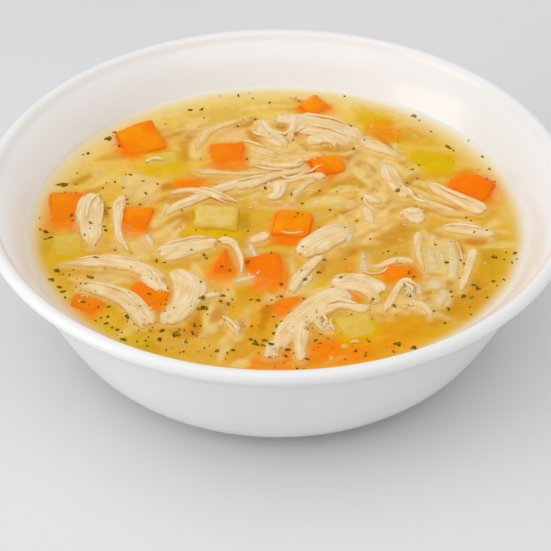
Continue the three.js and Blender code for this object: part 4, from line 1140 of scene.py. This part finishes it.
def even_disc(radius, count):
    """A square grid bent into a disc, which keeps its faces even: its points, faces and rim in order."""
    step = np.linspace(-1, 1, count + 1)
    a, b = (w.ravel() for w in np.meshgrid(step, step, indexing="ij"))
    flatter = np.abs(a) >= np.abs(b)
    big, small = np.where(flatter, a, b), np.where(flatter, b, a)
    turn = math.pi / 4 * small / np.where(big == 0, 1, big)
    turn = np.where(flatter, turn, math.pi / 2 - turn)
    points = np.stack([big * np.cos(turn), big * np.sin(turn)], 1) * radius
    i, j = (w.ravel() for w in np.meshgrid(np.arange(count), np.arange(count), indexing="ij"))
    first = i * (count + 1) + j
    faces = np.stack([first, first + count + 1, first + count + 2, first + 1], 1)
    rim = np.flatnonzero(np.maximum(np.abs(a), np.abs(b)) > 1 - 1e-9)
    return points, faces, rim[np.argsort(np.arctan2(points[rim, 1], points[rim, 0]))]


def broth(cover):
    """The liquid. Its skin climbs a little at the wall and the pieces, and is tinted by what lies in it and
    by painted light and shade.
    """
    wall = inner_wall(400)
    climb = 0.3
    edge = float(np.interp(LEVEL + climb, wall[::-1, 1], wall[::-1, 0])) + UNDER_WALL
    flat, faces, rim = even_disc(edge, GRID_STEPS)
    top = len(flat)
    hit_kind = np.full(top, -1)
    reach = RAY_START - (LEVEL - 0.05) * MM
    for i, (x, y) in enumerate(flat):
        above = Vector((x * MM, y * MM, RAY_START))
        for k, tree in enumerate(cover.values()):
            if tree.ray_cast(above, DOWN, reach)[0] is not None:
                hit_kind[i] = k
                break
    near, lean = {}, {}
    for k, kind in enumerate(cover):
        inside = np.flatnonzero(hit_kind == k)
        kd = KDTree(len(inside))
        for n, i in enumerate(inside):
            kd.insert((*flat[i], 0), n)
        kd.balance()
        found = [kd.find((*p, 0)) for p in flat]
        near[kind] = np.array([f[2] for f in found])
        # 1 where the piece lies straight behind the point, so that its near side shows under the broth.
        lean[kind] = np.array([f[0][1] for f in found]) - flat[:, 1]
        lean[kind] = np.clip(lean[kind] / np.maximum(near[kind], 0.3), 0, 1)

    r = np.hypot(flat[:, 0], flat[:, 1])
    at = np.column_stack([flat, np.full(top, 3.0)])
    closest = np.min([near[kind] for kind in cover], axis=0)
    rise = climb * np.exp(-(edge - r) / 1.1) + 0.35 * np.exp(-closest / 0.8)
    tint, relief = soup_tint(flat, at, r, edge, near, lean)
    verts = np.column_stack([flat, LEVEL + rise + relief + 0.05 * cloud(at, 9, 4, 2)])

    faces = [tuple(f) for f in faces]
    below = wall[wall[:, 1] < LEVEL - 0.5][::24]
    below = np.column_stack([below[:, 0] - GAP * 1.6, np.maximum(below[:, 1], FLOOR_HEIGHT + GAP)])
    unit = flat[rim] / edge
    side = np.vstack([np.column_stack([unit * radius, np.full(len(rim), z)]) for radius, z in below])
    verts = np.vstack([verts, side, [0, 0, FLOOR_HEIGHT + GAP]])
    rings = np.vstack([rim, top + np.arange(len(side)).reshape(len(below), -1)])
    for high, low in zip(rings, rings[1:]):
        faces += list(zip(high, low, np.roll(low, -1), np.roll(high, -1)))
    faces += [(a, len(verts) - 1, b) for a, b in zip(rings[-1], np.roll(rings[-1], -1))]
    tint = np.vstack([tint, np.tile(linear(215, 165, 60), (len(verts) - top, 1))])
    piece = make("broth_body", verts, faces, BROTH, "broth")
    write(piece.data, "soup", "color", np.column_stack([tint, np.ones(len(tint))]))
    write(piece.data, "cloudy", "value", np.clip((73 - np.hypot(verts[:, 0], verts[:, 1])) / 4, 0, 1))
    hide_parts("broth")

    def height(x, y):
        n = np.argmin((flat[:, 0] - x) ** 2 + (flat[:, 1] - y) ** 2)
        return None if closest[n] < 2.0 else verts[n, 2]

    return piece, height


def drifting():
    """Small torn bits under the surface, in the same form as the sunk things."""
    bits = []
    for x, y, spread, heading, count in DRIFTS:
        for _ in range(count):
            place = rng.normal((x, y), spread * 0.55)
            hue = rng.choice(list(DRIFT_HUES), p=list(DRIFT_HUES.values()))
            size = (rng.uniform(5, 14), rng.uniform(1.5, 4.4))
            bits.append((str(hue), *place, *size, heading + rng.normal(0, 24), rng.uniform(0.4, 1.6)))
    return bits


def lay_tint(tint, hue, cover):
    tint += cover[:, None] * (linear(*(TINTS[hue] if hue in TINTS else hue)) - tint)


def soft_step(x):
    x = np.clip(x, 0, 1)
    return x * x * (3 - 2 * x)


def sunk_cover(out, depth):
    """How far a sunk thing hides what is under it, by the distance outside its outline."""
    return 0.92 * math.exp(-depth / 5.5) / (1 + np.exp(np.clip(out / (0.13 + 0.17 * depth), -30, 30)))


def soup_tint(flat, at, r, edge, near, lean):
    """The broth's colour from above, cloudy with what lies in it and with painted light and shade, and the
    swell over what touches it.
    """
    top = len(flat)
    relief = np.zeros(top)
    tint = np.tile(linear(231, 184, 60), (top, 1))
    # Paler towards the far side: partly the broth's own tone, partly painted reflection of the bright room,
    # strongest in the far half.
    lay_tint(tint, (241, 202, 102), soft_step((flat[:, 1] + 45) / 110) * 0.9)
    lay_tint(tint, (244, 218, 160), soft_step((flat[:, 1] - 10) / 55) * 0.6)
    # Painted light: a brighter tint over the left part of the broth, where the left wall shades it.
    left = 0.5 * soft_step((-34 - flat[:, 0]) / 40) * soft_step((flat[:, 1] + 40) / 50)
    lay_tint(tint, (253, 214, 116), left)
    lay_tint(tint, (236, 188, 90), 0.3 * np.clip(0.5 + 0.5 * cloud(at, 20, 1), 0, 1))
    dark = 0.32 * np.clip(0.35 + 0.6 * cloud(at + 90, 13, 2), 0, 1) * soft_step((50 - flat[:, 1]) / 60)
    lay_tint(tint, (206, 140, 0), dark)
    things = [(s[6], s) for s in SUNK + drifting()] + [(s[1], s) for s in SUNK_SHREDS]
    for depth, thing in sorted(things, key=lambda d: -d[0]):
        if len(thing) == 3:
            width, _, path = thing
            line, along = line_through(path, 0.6, 0)
            line = line[:, :2]
            close = np.flatnonzero(np.abs(flat - line.mean(0)).max(1) < along[-1] / 2 + width + 3 + depth)
            gap = np.linalg.norm(flat[close, None] - line[None], axis=2)
            nearest = gap.argmin(1)
            v, u = gap[np.arange(len(close)), nearest], along[nearest]
            taper = np.clip(np.minimum(u, along[-1] - u) / 4, 0.15, 1) ** 0.5
            out = v - width / 2 * taper + 0.25 * cloud(at[close], 2.5, 6, 2)
            hue, way = "chicken", np.column_stack([u * 0.2, v * 1.5 + width, np.full(len(close), depth * 9)])
        else:
            hue, x, y, length, width, heading, _ = thing
            reach = max(length, width) / 2 + 2 + 2 * depth
            close = np.flatnonzero(np.abs(flat - (x, y)).max(1) < reach)
            c, s = math.cos(math.radians(heading)), math.sin(math.radians(heading))
            d = flat[close] - (x, y)
            u, v = d[:, 0] * c + d[:, 1] * s, -d[:, 0] * s + d[:, 1] * c
            power = 4 if hue in SQUARE_HUES else 2.4
            out = (np.abs(u / (length / 2)) ** power + np.abs(v / (width / 2)) ** power) ** (1 / power) - 1
            ragged = (0.3 + 0.25 * depth) * cloud(at[close] + depth * 7, 3 + depth, 2, 2)
            out = out * min(length, width) / 2 + ragged
            way = np.column_stack([u * 0.2, v * 1.2, np.full(len(close), depth * 9 + x)])
        if not len(close):
            continue
        cover = sunk_cover(out, depth)
        if hue in FIBROUS_HUES and depth < 5:
            cover *= 0.62 + 0.38 * soft_step(2.2 * value_noise(way, 3) - 0.5)
        part = tint[close]
        lay_tint(part, hue, cover)
        tint[close] = part
        if depth < 1 and hue not in FLAT_HUES:
            relief[close] = np.maximum(relief[close], 0.35 * (1 - depth) * cover)
    slant = np.column_stack([flat @ [[0.9, -0.5], [0.5, 0.9]], np.zeros(top)]) * (0.25, 1.0, 1)
    milky = 0.3 * np.clip(cloud(slant, 2.4, 8, 2) - 0.3, 0, 1)
    lay_tint(tint, (240, 214, 156), milky)
    for kind, (hue, reach, strength, stretch) in HALOS.items():
        away = near[kind] / (reach * (1 + stretch * lean[kind]))
        lay_tint(tint, hue, strength * np.exp(-(away**1.4)))
    # Painted shadow: a band of amber about 2 mm out from the near side of each shred.
    lay_tint(tint, "amber", 0.35 * lean["chicken"] * np.exp(-(((near["chicken"] - 2.2) / 1.2) ** 2)))
    tint *= (1, 0.93, 0.49)
    thin = np.clip((r - 66.0) / (edge - 66.0), 0, 1)
    lay_tint(tint, (234, 198, 60), 0.6 * thin**1.3)
    lay_tint(tint, (249, 236, 194), 0.85 * thin**1.2 * soft_step((flat[:, 1] + 20) / 60))
    # The edge fades to the look of the wall through thin broth, with painted shade on the left and painted
    # light at the far side.
    shaded = soft_step(0.5 - flat[:, 0] / 90)[:, None]
    like_wall = linear(244, 237, 224) * (1 - shaded) + linear(231, 219, 198) * shaded
    like_wall += 0.6 * soft_step((flat[:, 1] - 45) / 30)[:, None] * (linear(255, 252, 246) - like_wall)
    fading = soft_step((r + 0.3 * cloud(at, 14, 9, 2) - 70.8 - 0.4 * shaded[:, 0]) / 6) ** 1.2
    tint += fading[:, None] * (like_wall - tint)
    return tint, relief


def tree_of(pieces):
    """A search tree over some pieces' meshes."""
    verts, faces = [], []
    for piece in pieces:
        start = len(verts)
        verts += [v.co.copy() for v in piece.data.vertices]
        faces += [[start + i for i in p.vertices] for p in piece.data.polygons]
    return BVHTree.FromPolygons(verts, faces)


def dice_of(kind, seed):
    """All the dice of one kind."""
    names = [name for name in sorted(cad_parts) if name.startswith(kind)]
    return [cooked_dice(name, FLESH.get(name, FLESH[kind]), seed + i) for i, name in enumerate(names)]


# Putting it together

bowl()
carrots = dice_of("carrot", 10)
potatoes = dice_of("potato", 60)
shreds = [chicken(f"shred_{i:02d}", [one], f"chicken_{i:02d}", 99 + i) for i, one in enumerate(SHREDS, 1)]
shreds += [
    chicken(f"pulled_heap_{i:02d}", many, f"chicken_heap_{i:02d}", 280 + 20 * i)
    for i, many in enumerate(HEAPS, 1)
]
grains = rice()
cover = {
    "carrot": tree_of(carrots), "potato": tree_of(potatoes),
    "chicken": tree_of(shreds), "rice": tree_of([grains]),
}
liquid, height = broth(cover)
everything = tree_of([liquid, *carrots, *potatoes, *shreds, grains])
threads(everything)
herbs(everything)
crumbs(everything)
fat_eyes(height)

# Table, light and camera

floor = bpy.data.objects.new("table", bpy.data.meshes.new("table"))
floor.data.from_pydata([(-3, -3, 0), (3, -3, 0), (3, 3, 0), (-3, 3, 0)], [], [(0, 1, 2, 3)])
floor.data.materials.append(table_top())
bpy.context.scene.collection.objects.link(floor)


def soft_light(name, place, aim, size, power):
    data = bpy.data.lights.new(name, "AREA")
    data.shape = "RECTANGLE"
    data.size, data.size_y = size
    data.energy = power
    lamp = bpy.data.objects.new(name, data)
    lamp.location = place
    lamp.rotation_euler = (Vector(aim) - Vector(place)).to_track_quat("-Z", "Y").to_euler()
    bpy.context.scene.collection.objects.link(lamp)


soft_light("window", (-0.76, -0.24, 0.3), (0, 0, 0.03), (0.5, 0.5), 1.9)
soft_light("sky", (0, -0.3, 1.1), (0, 0, 0.03), (1.2, 1.2), 3.5)

world = bpy.data.worlds.new("studio")
world.use_nodes = True
world.node_tree.nodes["Background"].inputs["Color"].default_value = (1.0, 1.0, 1.0, 1)
world.node_tree.nodes["Background"].inputs["Strength"].default_value = 0.68
bpy.context.scene.world = world
bpy.context.scene.view_settings.view_transform = "Standard"

FOCAL_PIXELS, FRAME_PIXELS, SENSOR = 2400.0, 551.0, 36.0
PITCH = math.radians(37.73)
eye = Vector((-0.8, -590.0, 475.1)) * MM
ahead = Vector((0, math.cos(PITCH), -math.sin(PITCH)))
camera = bpy.data.objects.new("camera", bpy.data.cameras.new("camera"))
camera.data.sensor_width = SENSOR
camera.data.lens = FOCAL_PIXELS / FRAME_PIXELS * SENSOR
camera.data.clip_start = 0.05
camera.location = eye
camera.rotation_euler = ahead.to_track_quat("-Z", "Y").to_euler()
bpy.context.scene.collection.objects.link(camera)
bpy.context.scene.camera = camera
